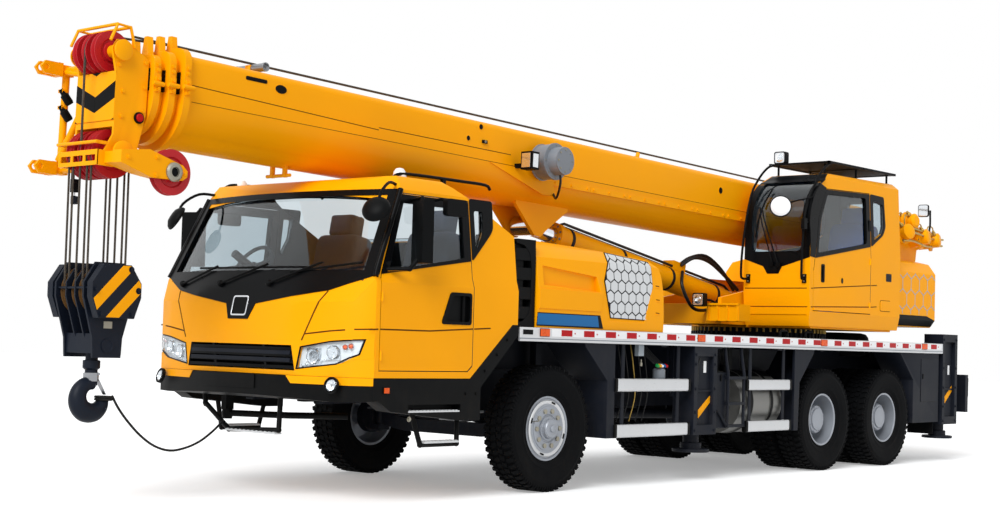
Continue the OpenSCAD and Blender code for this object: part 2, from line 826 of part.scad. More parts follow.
function op_door_line(g) = [[op_x1 - 45 - g, 1660 + g], [op_x1 - 45 - g, 2080], [op_x1 - 150 - g, 2640],
    [op_x1 - 320 - g, 2960 - g], [op_x1 - 1270 + g, 2990 - g], [op_x1 - 1270 + g, 1660 + g]];
function op_door_pane() = [[op_x1 - 118, 2255], [op_x1 - 205, 2640], [op_x1 - 350, 2905],
    [op_x1 - 1185, 2935],
    [op_x1 - 1185, 2425]];
function op_quarter_pane() = [[op_x1 - 1335, 2925], [op_x1 - 1335, 2470], [op_x1 - 1530, 2560],
    [op_x1 - 1575, 2640],
    [op_x1 - 1575, 2885]];

module op_screen_cut(g) {
    along_y(op_y0 + 70 + g, op_y1 - 75 - g)
        polygon([[op_x1 - 200, 2080 + g], [op_x1 + 200, 2080 + g], [op_x1 + 200, op_top + 100],
            [op_x1 - 420 + g, op_top + 100],
            [op_x1 - 420 + g, op_top - 160]]);
}

module operator_cab() {
    color("#f5a70c") difference() {
        op_skin(0, op_wall);
        along_y(op_y1 - 300, 1400) polygon(op_door_line(0));
        along_y(op_y1 - 300, 1400) polygon(op_quarter_pane());
        along_y(op_y0 - 100, op_y0 + 200) polygon(op_quarter_pane());
        along_y(op_y0 - 100, op_y0 + 200) polygon(op_door_pane());
        op_screen_cut(0);
        along_x(op_x0 - 100, op_x0 + 200) polygon([[op_y0 + 120, 2350], [op_y1 - 120, 2350],
            [op_y1 - 140, 2950], [op_y0 + 140, 2950]]);
    }
}

module operator_glass() {
    color("#6f8890") {
        intersection() {
            op_skin(14, 22);
            op_screen_cut(eps);
        }
        intersection() {
            op_skin(14, 22);
            union() {
                along_y(op_y1 - 200, 1400) offset(delta = -eps) polygon(op_quarter_pane());
                along_y(op_y0 - 100, op_y0 + 100) offset(delta = -eps) polygon(op_quarter_pane());
                along_y(op_y0 - 100, op_y0 + 100) offset(delta = -eps) polygon(op_door_pane());
                along_x(op_x0 - 100, op_x0 + 100) offset(delta = -eps)
                    polygon([[op_y0 + 120, 2350], [op_y1 - 120, 2350], [op_y1 - 140, 2950],
                        [op_y0 + 140, 2950]]);
            }
        }
    }
}

module operator_interior() {
    mid = (op_y0 + op_y1) / 2;
    color("#2f4a7d") {
        seat(op_x1 - 1480, mid, 1850);
        for (s = [-1, 1]) {
            box([op_x1 - 1400, mid + s * 290 - 40, op_low + op_wall],
                [op_x1 - 900, mid + s * 290 + 40, 2130]);
            bar([op_x1 - 960, mid + s * 290, 2120], [op_x1 - 930, mid + s * 290, 2320], 14);
            translate([op_x1 - 930, mid + s * 290, 2330]) sphere(r = 28);
        }
    }
}

module roof_guard() {
    color("#15171b") {
        difference() {
            box([op_x0 + 40, op_y0 + 20, op_top + 150], [op_x1 - 380, op_y1 - 40, op_top + 175]);
            for (i = [0:8]) box([op_x0 + 90, op_y0 + 60 + 80 * i, op_top + 140],
                [op_x1 - 430, op_y0 + 84 + 80 * i, op_top + 190]);
        }
        for (x = [op_x0 + 100, op_x1 - 480]) for (y = [op_y0 + 90, op_y1 - 140])
            bar([x, y, op_roof(x) + 0.4], [x, y, op_top + 155], 12);
        translate([op_x1 - 420, op_y0 + 100, op_top + 172]) cylinder(r = 14, h = 60);
        box([op_x1 - 450, op_y0 + 20, op_top + 225], [op_x1 - 380, op_y0 + 180, op_top + 340]);
        bent_tube([[op_x1 + 29.6, op_y0 + 60, 1900], [op_x1 + 65, op_y0 + 60, 1900],
            [op_x1 + 110, op_y0 + 60, 2300],
            [op_x1 + 30, op_y0 + 60, 2900], [op_x1 - 180, op_y0 + 60, op_top + 162.5],
            [op_x1 - 400, op_y0 + 60, op_top + 162.5]], 10);
        bent_tube([[op_x1 + 30.2, op_y1 - 60, 1860], [op_x1 + 65, op_y1 - 60, 1860],
            [op_x1 + 90, op_y1 - 60, 2200],
            [op_x1 + 10, op_y1 - 60, 2900], [op_x1 - 210, op_y1 - 60, op_top + 162.5],
            [op_x1 - 400, op_y1 - 60, op_top + 162.5]], 10);
    }
}

module operator_door() {
    color("#f5a70c") {
        difference() {
            intersection() {
                op_skin(0, op_wall);
                along_y(op_y1 - 300, 1400) polygon(op_door_line(door_gap));
            }
            along_y(op_y1 - 300, 1400) polygon(op_door_pane());
            box([op_x1 - 260, op_y1 - 18, 1980], [op_x1 - 210, op_y1 + 10, 2140]);
        }
        for (z = [1720, 2200]) translate([op_x1 - 1250, op_y1 + 3, z]) cylinder(r = 9, h = 70);
    }
}

// Boom
module boom_frame() {
    translate([pivot_x, 0, pivot_z]) rotate([0, -boom_tilt, 0]) children();
}

// section outline: flat sides and top with a round lower half
function section(w, h, r)
    = concat([[w / 2, boom_mid + h / 2 - r]], arc(w / 2 - r, boom_mid + h / 2 - r, r, 0, 90, 4),
    arc(-w / 2 + r, boom_mid + h / 2 - r, r, 90, 180, 4), arc(0, boom_mid - h / 2 + w / 2, w / 2, 180,
        360, 24));

module section_2d(n, grow) {
    polygon(section(boom_w - 2 * boom_step * n + 2 * grow, boom_h - 2 * boom_step * n + 2 * grow,
        60 - 8 * n + grow));
}

module section_tube(n, x0, x1) {
    along_x(x0, x1) difference() {
        section_2d(n, 0);
        section_2d(n, -boom_wall);
    }
}

// front collar of one section, guiding the next one
module collar(n, x) {
    along_x(x - 60, x) difference() {
        section_2d(n, 42 - 4 * n);
        section_2d(n + 1, eps);
    }
    for (s = [-1, 1]) {
        along_x(x - 55, x - 5) polygon([[s * 150 - 45, boom_mid + boom_h / 2 - 35 * n - 10],
            [s * 150 + 45, boom_mid + boom_h / 2 - 35 * n - 10],
                [s * 150 + 20, boom_mid + boom_h / 2 + 140 - 20 * n],
            [s * 150 - 20, boom_mid + boom_h / 2 + 140 - 20 * n]]);
    }
}

module boom_base() {
    color("#f5a70c") boom_frame() {
        difference() {
            union() {
                section_tube(0, 40, boom_len - 10);
                collar(0, boom_len);
                // foot lugs at the pin
                both_sides() along_y(250, 335)
                    polygon([[-140, -60], [-60, -150], [60, -150], [700, boom_low + 60],
                        [900, boom_low + 300],
                        [60, boom_low + 420], [-100, 120]]);
            }
            rod_y(0, 0, 70 + pin_gap, -400, 400);
        }
    }
}

module boom_fittings() {
    color("#f5a70c") boom_frame() {
        difference() {
            union() {
                // cylinder bracket under the boom
                both_sides() along_y(125, 165)
                    polygon([[eye_x - 110, eye_z - 40], [eye_x - 40, eye_z - 105],
                        [eye_x + 50, eye_z - 100], [eye_x + 340, boom_low + 20],
                        [eye_x + 340, boom_low + 60], [eye_x - 420, boom_low + 60],
                            [eye_x - 420, boom_low + 20]]);
                both_sides() along_y(boom_w / 2 - 6, boom_w / 2 + 8)
                    polygon([[eye_x + 900, boom_mid - 20], [eye_x + 60, boom_mid - 20],
                        [eye_x - 40, boom_low + 110],
                        [eye_x + 160, boom_low + 110]]);
                // rope gantry on the top plate
                along_y(-30, 30) polygon([[boom_len - 1000, boom_mid + boom_h / 2 - 5],
                    [boom_len - 860, boom_mid + boom_h / 2 - 5],
                    [boom_len - 870, boom_mid + boom_h / 2 + 95],
                        [boom_len - 940, boom_mid + boom_h / 2 + 95]]);
                rod_y(boom_len - 905, boom_mid + boom_h / 2 + 70, 32, -180, 180);
                // cable reel on the left side
                rod_y(eye_x + 240, boom_mid + 60, 120, boom_w / 2 - 8, boom_w / 2 + 120);
                rod_y(eye_x + 240, boom_mid + 60, 160, boom_w / 2 + 60, boom_w / 2 + 220);
                rod_y(eye_x + 240, boom_mid + 60, 125, boom_w / 2 + 210, boom_w / 2 + 330);
                box([eye_x + 520, boom_w / 2 - 5, boom_mid - 30],
                    [eye_x + 560, boom_w / 2 + 120, boom_mid + 10]);
                box([eye_x + 490, boom_w / 2 + 100, boom_mid - 50],
                    [eye_x + 590, boom_w / 2 + 230, boom_mid + 110]);
                // stop bracket under the nose
                both_sides() box([boom_len - 1260, 60, boom_low - 80],
                    [boom_len - 1230, 90, boom_low + 30]);
                rod_y(boom_len - 1245, boom_low - 66, 14, -140, 140);
            }
            along_x(-10, boom_len - 60) section_2d(0, 0);
        }
    }
}

module boom_second() {
    color("#f5a70c") boom_frame() {
        section_tube(1, 920, boom_len + 95);
        collar(1, boom_len + 106);
    }
}

module boom_third() {
    color("#f5a70c") boom_frame() {
        section_tube(2, 950, boom_len + 200);
        collar(2, boom_len + 211);
    }
}

clevis_r = 22;
head_in = boom_w / 2 - 3 * boom_step;
head_out = head_in + 20;

module head_plate() {
    polygon([[boom_len + 226, boom_mid - 150], [boom_len + 226, boom_mid + 240], [boom_len + 260, 470],
        [boom_len + 420, 560], [head_x + 70, 560], [head_x + 110, 490], [head_x + 60, 300],
            [head_x + 60, -120], [head_x + 130, -250],
        [head_x + 90, -340], [head_x - 120, -340], [head_x - 160, -160]]);
}

module clevis(x, y, z) {
    for (s = [-1, 1]) difference() {
        along_y(y + s * 38 - 12, y + s * 38 + 12)
            polygon([[x - 130, z - 48], [x, z - 48], [x + 36, z], [x, z + 48], [x - 130, z + 48]]);
        rod_y(x - 10, z, clevis_r, y - 60, y + 60);
    }
    box([x - 150, y - 50, z - 50], [x - 110, y + 50, z + 50]);
}

module boom_fourth() {
    color("#f5a70c") boom_frame() section_tube(3, 980, boom_len + 300);
}

module boom_head() {
    top_x = head_x + 40;
    color("#f5a70c") boom_frame() {
        both_sides() along_y(head_in, head_out) head_plate();
        // front plate and cross members
        box([head_x + 30, -head_out, 130], [head_x + 60, head_out, 300]);
        box([head_x + 30, -head_out, -62], [head_x + 60, head_out, -15]);
        box([boom_len + 290, -head_out, -98], [boom_len + 320, head_out, -25]);
        rod_y(top_x, 482, 45.7, -head_out - 30, head_out + 30);
        rod_y(head_x, head_z, 45.7, -head_out - 40, head_out + 40);
        // side arm with the lower single sheave
        along_y(head_out - 5, head_out + 120)
            polygon([[head_x + 120, -330], [head_x + 120, -250], [head_x - 120, -230],
                [head_x - 330, -300], [head_x - 330, -400],
                [head_x - 120, -380]]);
        // jib mount frame on the right side
        for (z = [414, -320]) {
            rod_y(head_x - 40, z, 32, -520, -head_out + 5);
            box([head_x - 80, -590, z - 40], [head_x + 70, -510, z + 40]);
        }
        translate([head_x - 40, -550, -285]) cylinder(r = 28, h = 665);
        clevis(head_x + 170, -550, 414);
        clevis(head_x + 170, -550, -320);
    }
}

module sheave_ring(x, z, y, r) {
    translate([x, y, z]) rotate([90, 0, 0]) rotate_extrude($fn = 64)
        polygon([[46, -26], [r + 14, -26], [r + 14, -20], [r - 12, -8], [r - 12, 8], [r + 14, 20],
            [r + 14, 26], [46, 26]]);
}

module head_sheaves() {
    color("#b01722") boom_frame() {
        for (y = [-110, 0, 110]) {
            sheave_ring(head_x, head_z, y, sheave_r);
            sheave_ring(head_x + 40, 482, y, sheave_r);
        }
        sheave_ring(head_x - 330, -350, head_out + 155, sheave_r - 10);
        rod_y(head_x - 330, -350, 50, head_out + 120, head_out + 135);
    }
}

module luff_frame() {
    tip_x = pivot_x + eye_x * cos(boom_tilt) - eye_z * sin(boom_tilt);
    tip_z = pivot_z + eye_x * sin(boom_tilt) + eye_z * cos(boom_tilt);
    translate([lug_x, 0, lug_z]) rotate([0, -atan2(tip_z - lug_z, tip_x - lug_x), 0]) children();
}

luff_len = norm([pivot_x + eye_x * cos(boom_tilt) - eye_z * sin(boom_tilt) - lug_x,
    pivot_z + eye_x * sin(boom_tilt) + eye_z * cos(boom_tilt) - lug_z]);

module luff_barrel() {
    color("#f5a70c") luff_frame() difference() {
        union() {
            rod_y(0, 0, 110, -132, 132);
            rod_y(0, 0, 60, -190, 190);
            rod_x(0, 0, barrel_r, 60, luff_len - 420);
            rod_x(0, 0, barrel_r + 14, luff_len - 480, luff_len - 400);
        }
        rod_x(0, 0, rod_r + 6, 300, luff_len - 460);
        rod_x(0, 0, rod_r + eps, 300, luff_len);
    }
}

module luff_rod() {
    color("#c9ccd1") luff_frame() {
        rod_x(0, 0, rod_r, 320, luff_len - 60);
        rod_y(luff_len, 0, 95, -112, 112);
    }
}

// Hook
hang_x = pivot_x + head_x * cos(boom_tilt) - head_z * sin(boom_tilt);
hang_z = pivot_z + head_x * sin(boom_tilt) + head_z * cos(boom_tilt);
block_z = hang_z - fall_len;
rope_r = 8;

module rope_falls() {
    color("#5a5148") for (y = [-110, 0, 110]) for (s = [-1, 1])
        translate([hang_x + s * (sheave_r - 12 + rope_r + eps), y, block_z])
            cylinder(r = rope_r, h = fall_len);
}

module hook_cheek(w) {
    polygon([[-0.5 * w, -40], [-0.5 * w, 60], [-0.28 * w, 205], [0.28 * w, 205], [0.5 * w, 60],
        [0.5 * w, -40],
        [0.3 * w, -330], [0.28 * w, -470], [-0.28 * w, -470], [-0.3 * w, -330]]);
}

module hook_block() {
    color("#23283a") translate([hang_x, 0, block_z]) {
        both_sides() along_y(212, 275) polygon([[-150, -190], [-205, -40], [-205, 60], [-115, 190],
            [115, 190], [205, 60], [205, -40], [150, -190]]);
        both_sides() along_y(160, 180) hook_cheek(420);
        both_sides() along_y(48, 62) polygon([[-200, -40], [-200, 60], [-110, 195], [110, 195],
            [200, 60], [200, -40], [110, -330], [-110, -330]]);
        rod_y(0, 0, 48, -275, 275);
        for (y = [-110, 0, 110]) sheave_ring(0, 0, y, sheave_r);
        box([-110, -180, -440], [110, 180, -300]);
    }
}

module hook() {
    throat = 118;
    color("#23283a") translate([hang_x, 0, block_z - 470]) {
        translate([0, 0, -190]) cylinder(r = 44, h = 190 + 30 - eps);
        translate([0, 0, -70]) cylinder(r = 62, h = 50);
        translate([0, 0, -290]) rotate([90, 0, 0]) rotate([0, 0, -190])
            rotate_extrude(angle = 282, $fn = 48)
            translate([throat, 0]) circle(r = hook_bar);
    }
}

place() chassis_frame();
place() drivetrain();
place() deck();
place() side_rails();
place() cab_shell();
place() bumper();
place() lamps();
place() cab_glass();
place() cab_interior();
place() engine_hood();
place() air_intake();
place() fenders();
place() fuel_tank();
place() spare_wheel();
place() slew_ring();
place() tether();
place() knuckle_left();
place() knuckle_right();
place() tyre_front_left();
place() rim_front_left();
place() tyre_front_right();
place() rim_front_right();
place() tyre_second_left();
place() rim_second_left();
place() tyre_second_right();
place() rim_second_right();
place() tyre_third_left();
place() rim_third_left();
place() tyre_third_right();
place() rim_third_right();
place() beam_front_left();
place() beam_front_right();
place() beam_rear_left();
place() beam_rear_right();
place() jack_front_left();
place() jack_front_right();
place() jack_rear_left();
place() jack_rear_right();
place() door_left();
place() door_right();
place() turntable();
place() winches();
place() operator_cab();
place() operator_glass();
place() operator_interior();
place() roof_guard();
place() counterweight();
place() operator_door();
place() boom_base();
place() boom_fittings();
place() boom_second();
place() boom_third();
place() boom_fourth();
place() boom_head();
place() head_sheaves();
place() luff_barrel();
place() luff_rod();
place() rope_falls();
place() hook_block();
place() hook();
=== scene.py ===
import bpy, bmesh, json
from math import cos, degrees, exp, hypot, pi, radians, sin, sqrt, tan
from mathutils import Matrix, Vector
from mathutils.geometry import delaunay_2d_cdt

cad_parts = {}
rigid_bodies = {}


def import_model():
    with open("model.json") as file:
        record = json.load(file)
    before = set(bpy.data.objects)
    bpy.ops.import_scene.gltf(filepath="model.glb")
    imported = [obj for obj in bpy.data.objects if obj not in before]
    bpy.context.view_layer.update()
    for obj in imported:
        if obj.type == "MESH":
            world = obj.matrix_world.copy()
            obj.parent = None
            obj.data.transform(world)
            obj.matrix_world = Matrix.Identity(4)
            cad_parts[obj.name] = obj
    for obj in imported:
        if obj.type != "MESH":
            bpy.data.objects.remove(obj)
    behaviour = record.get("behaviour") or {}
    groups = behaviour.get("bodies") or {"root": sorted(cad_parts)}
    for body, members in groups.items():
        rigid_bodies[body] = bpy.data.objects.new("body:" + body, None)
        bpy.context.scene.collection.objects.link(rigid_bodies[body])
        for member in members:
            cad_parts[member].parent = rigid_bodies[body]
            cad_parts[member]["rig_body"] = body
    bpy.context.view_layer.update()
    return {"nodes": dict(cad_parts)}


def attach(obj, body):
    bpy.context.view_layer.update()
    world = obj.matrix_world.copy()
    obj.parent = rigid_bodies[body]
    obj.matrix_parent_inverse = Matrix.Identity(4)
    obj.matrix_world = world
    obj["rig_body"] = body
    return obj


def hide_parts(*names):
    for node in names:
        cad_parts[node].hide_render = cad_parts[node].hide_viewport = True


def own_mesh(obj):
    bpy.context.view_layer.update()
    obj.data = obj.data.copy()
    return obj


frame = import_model()
scene = bpy.context.scene
axleX = 2.015  # the front axle lies this far ahead of the part's middle


def at(x, y, z):  # millimetres from the front axle, left and up
    return Vector((x / 1000 + axleX, y / 1000, z / 1000))


boomLine = dict(pivotX=-6900, pivotZ=2450, tilt=1.6)


def onBoom(x, y, z):  # millimetres along the boom from its foot pin
    t = radians(boomLine["tilt"])
    return at(boomLine["pivotX"] + x * cos(t) - z * sin(t), y, boomLine["pivotZ"] + x * sin(t) + z * cos(t))


# camera from the photograph's fit
shot = dict(x=10390.63, y=9723.84, z=1240.45, yaw=221.3366, pitch=2.4222, roll=1.6527, lens=57.5826, shiftY=0.01568)


def makeCamera():
    yaw, pitch, roll = (radians(shot[k]) for k in ("yaw", "pitch", "roll"))
    ahead = Vector((cos(yaw) * cos(pitch), sin(yaw) * cos(pitch), sin(pitch)))
    side = Vector((sin(yaw), -cos(yaw), 0))
    up = side.cross(ahead)
    right = side * cos(roll) + up * sin(roll)
    top = up * cos(roll) - side * sin(roll)
    data = bpy.data.cameras.new("photoCamera")
    data.sensor_fit = "HORIZONTAL"
    data.sensor_width = 36
    data.lens = shot["lens"]
    data.shift_y = shot["shiftY"]
    data.clip_end = 200
    cam = bpy.data.objects.new("photoCamera", data)
    turn = Matrix((right, top, -ahead)).transposed().to_4x4()
    cam.matrix_world = Matrix.Translation(at(shot["x"], shot["y"], shot["z"])) @ turn
    scene.collection.objects.link(cam)
    scene.camera = cam


makeCamera()
print("stage: camera set")


# mesh helpers
def smoothLine(points, steps):  # Catmull-Rom through the points
    pts = [Vector(p) for p in points]
    pts = [pts[0] * 2 - pts[1]] + pts + [pts[-1] * 2 - pts[-2]]
    line = []
    for i in range(1, len(pts) - 2):
        a, b, c, d = pts[i - 1:i + 3]
        for k in range(steps):
            t = k / steps
            line.append(0.5 * (2 * b + (c - a) * t + (2 * a - 5 * b + 4 * c - d) * t * t
                    + (3 * b - a - 3 * c + d) * t ** 3))
    line.append(pts[-2])
    return line


def linkMesh(name, mesh):
    obj = bpy.data.objects.new(name, mesh)
    scene.collection.objects.link(obj)
    return obj


class Kit:  # gathers shapes of one body into one mesh
    def __init__(self, name):
        self.name = name
        self.bm = bmesh.new()
        self.uv = self.bm.loops.layers.uv.new("UVMap")
        self.mats = []

    def matIndex(self, mat):
        if mat not in self.mats:
            self.mats.append(mat)
        return self.mats.index(mat)

    def add(self, verts, faces, mat, uvs=None):
        made = [self.bm.verts.new(v) for v in verts]
        index = self.matIndex(mat)
        for n, f in enumerate(faces):
            face = self.bm.faces.new([made[i] for i in f])
            face.material_index = index
            if uvs:
                for loop, uv in zip(face.loops, uvs[n]):
                    loop[self.uv].uv = uv

    def box(self, low, high, mat):  # corners in millimetres from the front axle
        a, b = at(*[min(p, q) for p, q in zip(low, high)]), at(*[max(p, q) for p, q in zip(low, high)])
        self.hexa([Vector((x, y, z)) for z in (a.z, b.z) for y in (a.y, b.y) for x in (a.x, b.x)], mat)

    def hexa(self, c, mat):
        self.add(c, [(0, 2, 3, 1), (4, 5, 7, 6), (0, 1, 5, 4), (2, 6, 7, 3), (0, 4, 6, 2), (1, 3, 7, 5)], mat)

    def boomBox(self, low, high, mat):
        self.hexa([onBoom(x, y, z) for z in (low[2], high[2]) for y in (low[1], high[1]) for x in (low[0], high[0])],
                mat)

    def slab(self, outline, normal, depth, mat):  # outline points in space, thickened against the normal
        pts = [Vector(p) for p in outline]
        area = Vector()
        for a, b in zip(pts, pts[1:] + pts[:1]):
            area += a.cross(b)
        if area.dot(normal) < 0:
            pts.reverse()
        n = len(pts)
        back = [p - Vector(normal) * depth for p in pts]
        self.add(pts + back, [tuple(range(n)), tuple(range(2 * n - 1, n - 1, -1))]
                + [(i, i + n, (i + 1) % n + n, (i + 1) % n) for i in range(n)], mat)

    def sheet(self, plane, level, outline, way, depth, mat):  # flat plate in millimetres, facing along its plane letter
        k = "xyz".index(plane)
        normal = [way if n == k else 0 for n in range(3)]
        self.slab([at(*p[:k], level, *p[k:]) for p in outline], normal, depth / 1000, mat)

    def tube(self, points, radius, mat, sides=10, closed=False):
        pts = [Vector(p) for p in points]
        count = len(pts)
        along = []
        for i in range(count):
            a = pts[i - 1] if (i or closed) else pts[i]
            b = pts[(i + 1) % count] if (i < count - 1 or closed) else pts[i]
            along.append((b - a).normalized())
        side = along[0].orthogonal().normalized()
        verts, run, runs = [], 0, []
        for i in range(count):
            side = (side - along[i] * side.dot(along[i])).normalized()
            other = along[i].cross(side)
            if i:
                run += (pts[i] - pts[i - 1]).length
            runs.append(run)
            for k in range(sides):
                w = 2 * pi * k / sides
                verts.append(pts[i] + (side * cos(w) + other * sin(w)) * (radius[i]
                        if isinstance(radius, list) else radius))
        faces, uvs = [], []
        for i in range(count if closed else count - 1):
            j = (i + 1) % count
            for k in range(sides):
                m = (k + 1) % sides
                faces.append((i * sides + k, i * sides + m, j * sides + m, j * sides + k))
                u0, u1 = k / sides, (k + 1) / sides
                v0, v1 = runs[i], runs[j] if j else run + (pts[0] - pts[-1]).length
                uvs.append(((u0, v0), (u1, v0), (u1, v1), (u0, v1)))
        if not closed:
            faces.append(tuple(reversed(range(sides))))
            faces.append(tuple(range((count - 1) * sides, count * sides)))
            uvs += [[(0, 0)] * sides, [(0, run)] * sides]
        self.add(verts, faces, mat, uvs)

    def pipe(self, points, radius, mat, sides=10, steps=0):  # millimetres from the front axle
        line = [at(*p) for p in points]
        self.tube(smoothLine(line, steps) if steps else line, radius / 1000, mat, sides)

    def turn(self, profile, centre, axis, mat, seg=32):  # profile of (radius, along the axis) in metres
        axis = Vector(axis).normalized()
        side = axis.orthogonal().normalized()
        other = axis.cross(side)
        centre = Vector(centre)
        verts, faces, rows = [], [], []
        for r, h in profile:
            if r < 1e-6:
                rows.append([len(verts)])
                verts.append(centre + axis * h)
            else:
                rows.append(list(range(len(verts), len(verts) + seg)))
                for k in range(seg):
                    w = 2 * pi * k / seg
                    verts.append(centre + axis * h + (side * cos(w) + other * sin(w)) * r)
        for low, high in zip(rows, rows[1:]):
            for k in range(seg):
                m = (k + 1) % seg
                if len(low) == 1 and len(high) == 1:
                    continue
                if len(low) == 1:
                    faces.append((low[0], high[m], high[k]))
                elif len(high) == 1:
                    faces.append((low[k], low[m], high[0]))
                else:
                    faces.append((low[k], low[m], high[m], high[k]))
        self.add(verts, faces, mat)

    def spin(self, profile, centre, axis, mat, seg=32):  # the same in millimetres
        self.turn([(r / 1000, h / 1000) for r, h in profile], centre, axis, mat, seg)

    def finish(self, body, slot, bevel=0, angle=35, segments=2, replaces=()):
        bmesh.ops.recalc_face_normals(self.bm, faces=self.bm.faces)
        mesh = bpy.data.meshes.new(self.name)
        self.bm.to_mesh(mesh)
        self.bm.free()
        smoothMesh(mesh, self.mats, angle)
        obj = linkMesh(self.name, mesh)
        if bevel:
            softEdge(obj, bevel, angle, segments)
        return seat(obj, body, replaces)


def smoothMesh(mesh, mats, angle):  # finishes by name, smooth faces, edges sharp above the angle
    for mat in mats:
        mesh.materials.append(paints[mat])
    for poly in mesh.polygons:
        poly.use_smooth = True
    mesh.set_sharp_from_angle(angle=radians(angle))


def softEdge(obj, width, angle=35, segments=2):
    mod = obj.modifiers.new("softEdge", "BEVEL")
    mod.width = width
    mod.segments = segments
    mod.limit_method = "ANGLE"
    mod.angle_limit = radians(angle)
    mod.use_clamp_overlap = True
    mod.harden_normals = True


def seat(obj, body, replaces=()):
    if replaces:
        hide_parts(*replaces)
    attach(obj, body)
    return obj


def mergedCopy(node):  # CAD nodes come as loose triangles
    bm = bmesh.new()
    bm.from_mesh(frame["nodes"][node].data)
    bmesh.ops.remove_doubles(bm, verts=bm.verts, dist=0.00005)
    bmesh.ops.dissolve_limit(bm, angle_limit=radians(0.6), verts=bm.verts, edges=bm.edges)
    return bm


# shader groups
def rgb(r, g, b):  # colours are written as seen on screen, 0 to 255
    def lin(c):
        c /= 255
        return c / 12.92 if c <= 0.04045 else ((c + 0.055) / 1.055) ** 2.4
    return (lin(r), lin(g), lin(b), 1)


def newGroup(name, ins, outs, kind="ShaderNodeTree"):
    tree = bpy.data.node_groups.new(name, kind)
    for label, sort, value in ins:
        sock = tree.interface.new_socket(label, in_out="INPUT", socket_type="NodeSocket" + sort)
        if value is not None:
            sock.default_value = value
    for label, sort in outs:
        tree.interface.new_socket(label, in_out="OUTPUT", socket_type="NodeSocket" + sort)
    return tree, tree.nodes.new("NodeGroupInput"), tree.nodes.new("NodeGroupOutput")


def newNode(tree, kind, ins=None, **props):  # values are set, sockets are linked
    node = tree.nodes.new(kind)
    for key, value in props.items():
        setattr(node, key, value)
    for key, value in (ins or {}).items():
        if hasattr(value, "is_linked"):
            tree.links.new(value, node.inputs[key])
        else:
            node.inputs[key].default_value = value
    return node


def plug(tree, source, target):
    tree.links.new(source, target)


def sums(tree, op, a, b=None, c=None, clamp=False):
    ins = {n: value for n, value in enumerate((a, b, c)) if value is not None}
    return newNode(tree, "ShaderNodeMath", ins, operation=op, use_clamp=clamp).outputs[0]


def noise(tree, vector, scale, detail=3, rough=0.5):
    ins = {"Vector": vector, "Scale": scale, "Detail": detail, "Roughness": rough}
    return newNode(tree, "ShaderNodeTexNoise", ins).outputs[0]


def remap(tree, value, a, b, c, d):
    ins = {"Value": value, "From Min": a, "From Max": b, "To Min": c, "To Max": d}
    return newNode(tree, "ShaderNodeMapRange", ins).outputs[0]


def mixColour(tree, fac, a, b):
    return newNode(tree, "ShaderNodeMix", {0: fac, 6: a, 7: b}, data_type="RGBA").outputs[2]


def axes(tree, vector):
    return newNode(tree, "ShaderNodeSeparateXYZ", {0: vector}).outputs


def stretch(tree, vector, scale, turn=(0, 0, 0)):
    return newNode(tree, "ShaderNodeMapping", {"Vector": vector, "Scale": scale, "Rotation": turn}).outputs[0]


def toneGroup():  # slow colour drift of a sprayed or cast surface
    t, i, o = newGroup("toneDrift", [("Vector", "Vector", None), ("Colour", "Color", (1, 1, 1, 1)),
            ("Drift", "Float", 0.05), ("Scale", "Float", 2.0)], [("Colour", "Color"), ("Patch", "Float")])
    n = noise(t, i.outputs["Vector"], i.outputs["Scale"], 4)
    low = sums(t, "SUBTRACT", 1, i.outputs["Drift"])
    high = sums(t, "ADD", 1, i.outputs["Drift"])
    hsv = t.nodes.new("ShaderNodeHueSaturation")
    plug(t, i.outputs["Colour"], hsv.inputs["Color"])
    plug(t, remap(t, n, 0.3, 0.7, low, high), hsv.inputs["Value"])
    plug(t, hsv.outputs[0], o.inputs["Colour"])
    plug(t, n, o.inputs["Patch"])
    return t


def dustGroup():  # road dust that thins out with height
    t, i, o = newGroup("roadDust", [("Vector", "Vector", None), ("Low", "Float", 0.2), ("High", "Float", 1.2),
            ("Amount", "Float", 0.3)], [("Mask", "Float")])
    z = axes(t, i.outputs["Vector"])[2]
    fall = remap(t, z, i.outputs["Low"], i.outputs["High"], 1, 0)
    specks = remap(t, noise(t, i.outputs["Vector"], 7, 6, 0.65), 0.35, 0.75, 0, 1)
    streak = remap(t, noise(t, stretch(t, i.outputs["Vector"], (9, 9, 1.2)), 2.2, 4), 0.35, 0.8, 0.2, 1)
    both = sums(t, "MULTIPLY", sums(t, "MULTIPLY", specks, streak), fall)
    plug(t, sums(t, "MULTIPLY", both, i.outputs["Amount"], clamp=True), o.inputs["Mask"])
    return t


def grainGroup():  # fine skin of paint, plastic or casting
    t, i, o = newGroup("fineSkin", [("Vector", "Vector", None), ("Scale", "Float", 400.0), ("Coarse", "Float", 60.0)],
            [("Height", "Float"), ("Speck", "Float")])
    fine = noise(t, i.outputs["Vector"], i.outputs["Scale"], 2)
    broad = noise(t, i.outputs["Vector"], i.outputs["Coarse"], 3)
    plug(t, sums(t, "ADD", sums(t, "MULTIPLY", fine, 0.5), sums(t, "MULTIPLY", broad, 0.5)), o.inputs["Height"])
    plug(t, fine, o.inputs["Speck"])
    return t


def brushGroup():  # drawn or rolled metal
    t, i, o = newGroup("brushedLines", [("Vector", "Vector", None), ("Stretch", "Vector", (1, 40, 40)),
            ("Scale", "Float", 12.0)], [("Value", "Float")])
    node = t.nodes.new("ShaderNodeVectorMath")
    node.operation = "MULTIPLY"
    plug(t, i.outputs["Vector"], node.inputs[0])
    plug(t, i.outputs["Stretch"], node.inputs[1])
    plug(t, noise(t, node.outputs[0], i.outputs["Scale"], 5, 0.6), o.inputs["Value"])
    return t


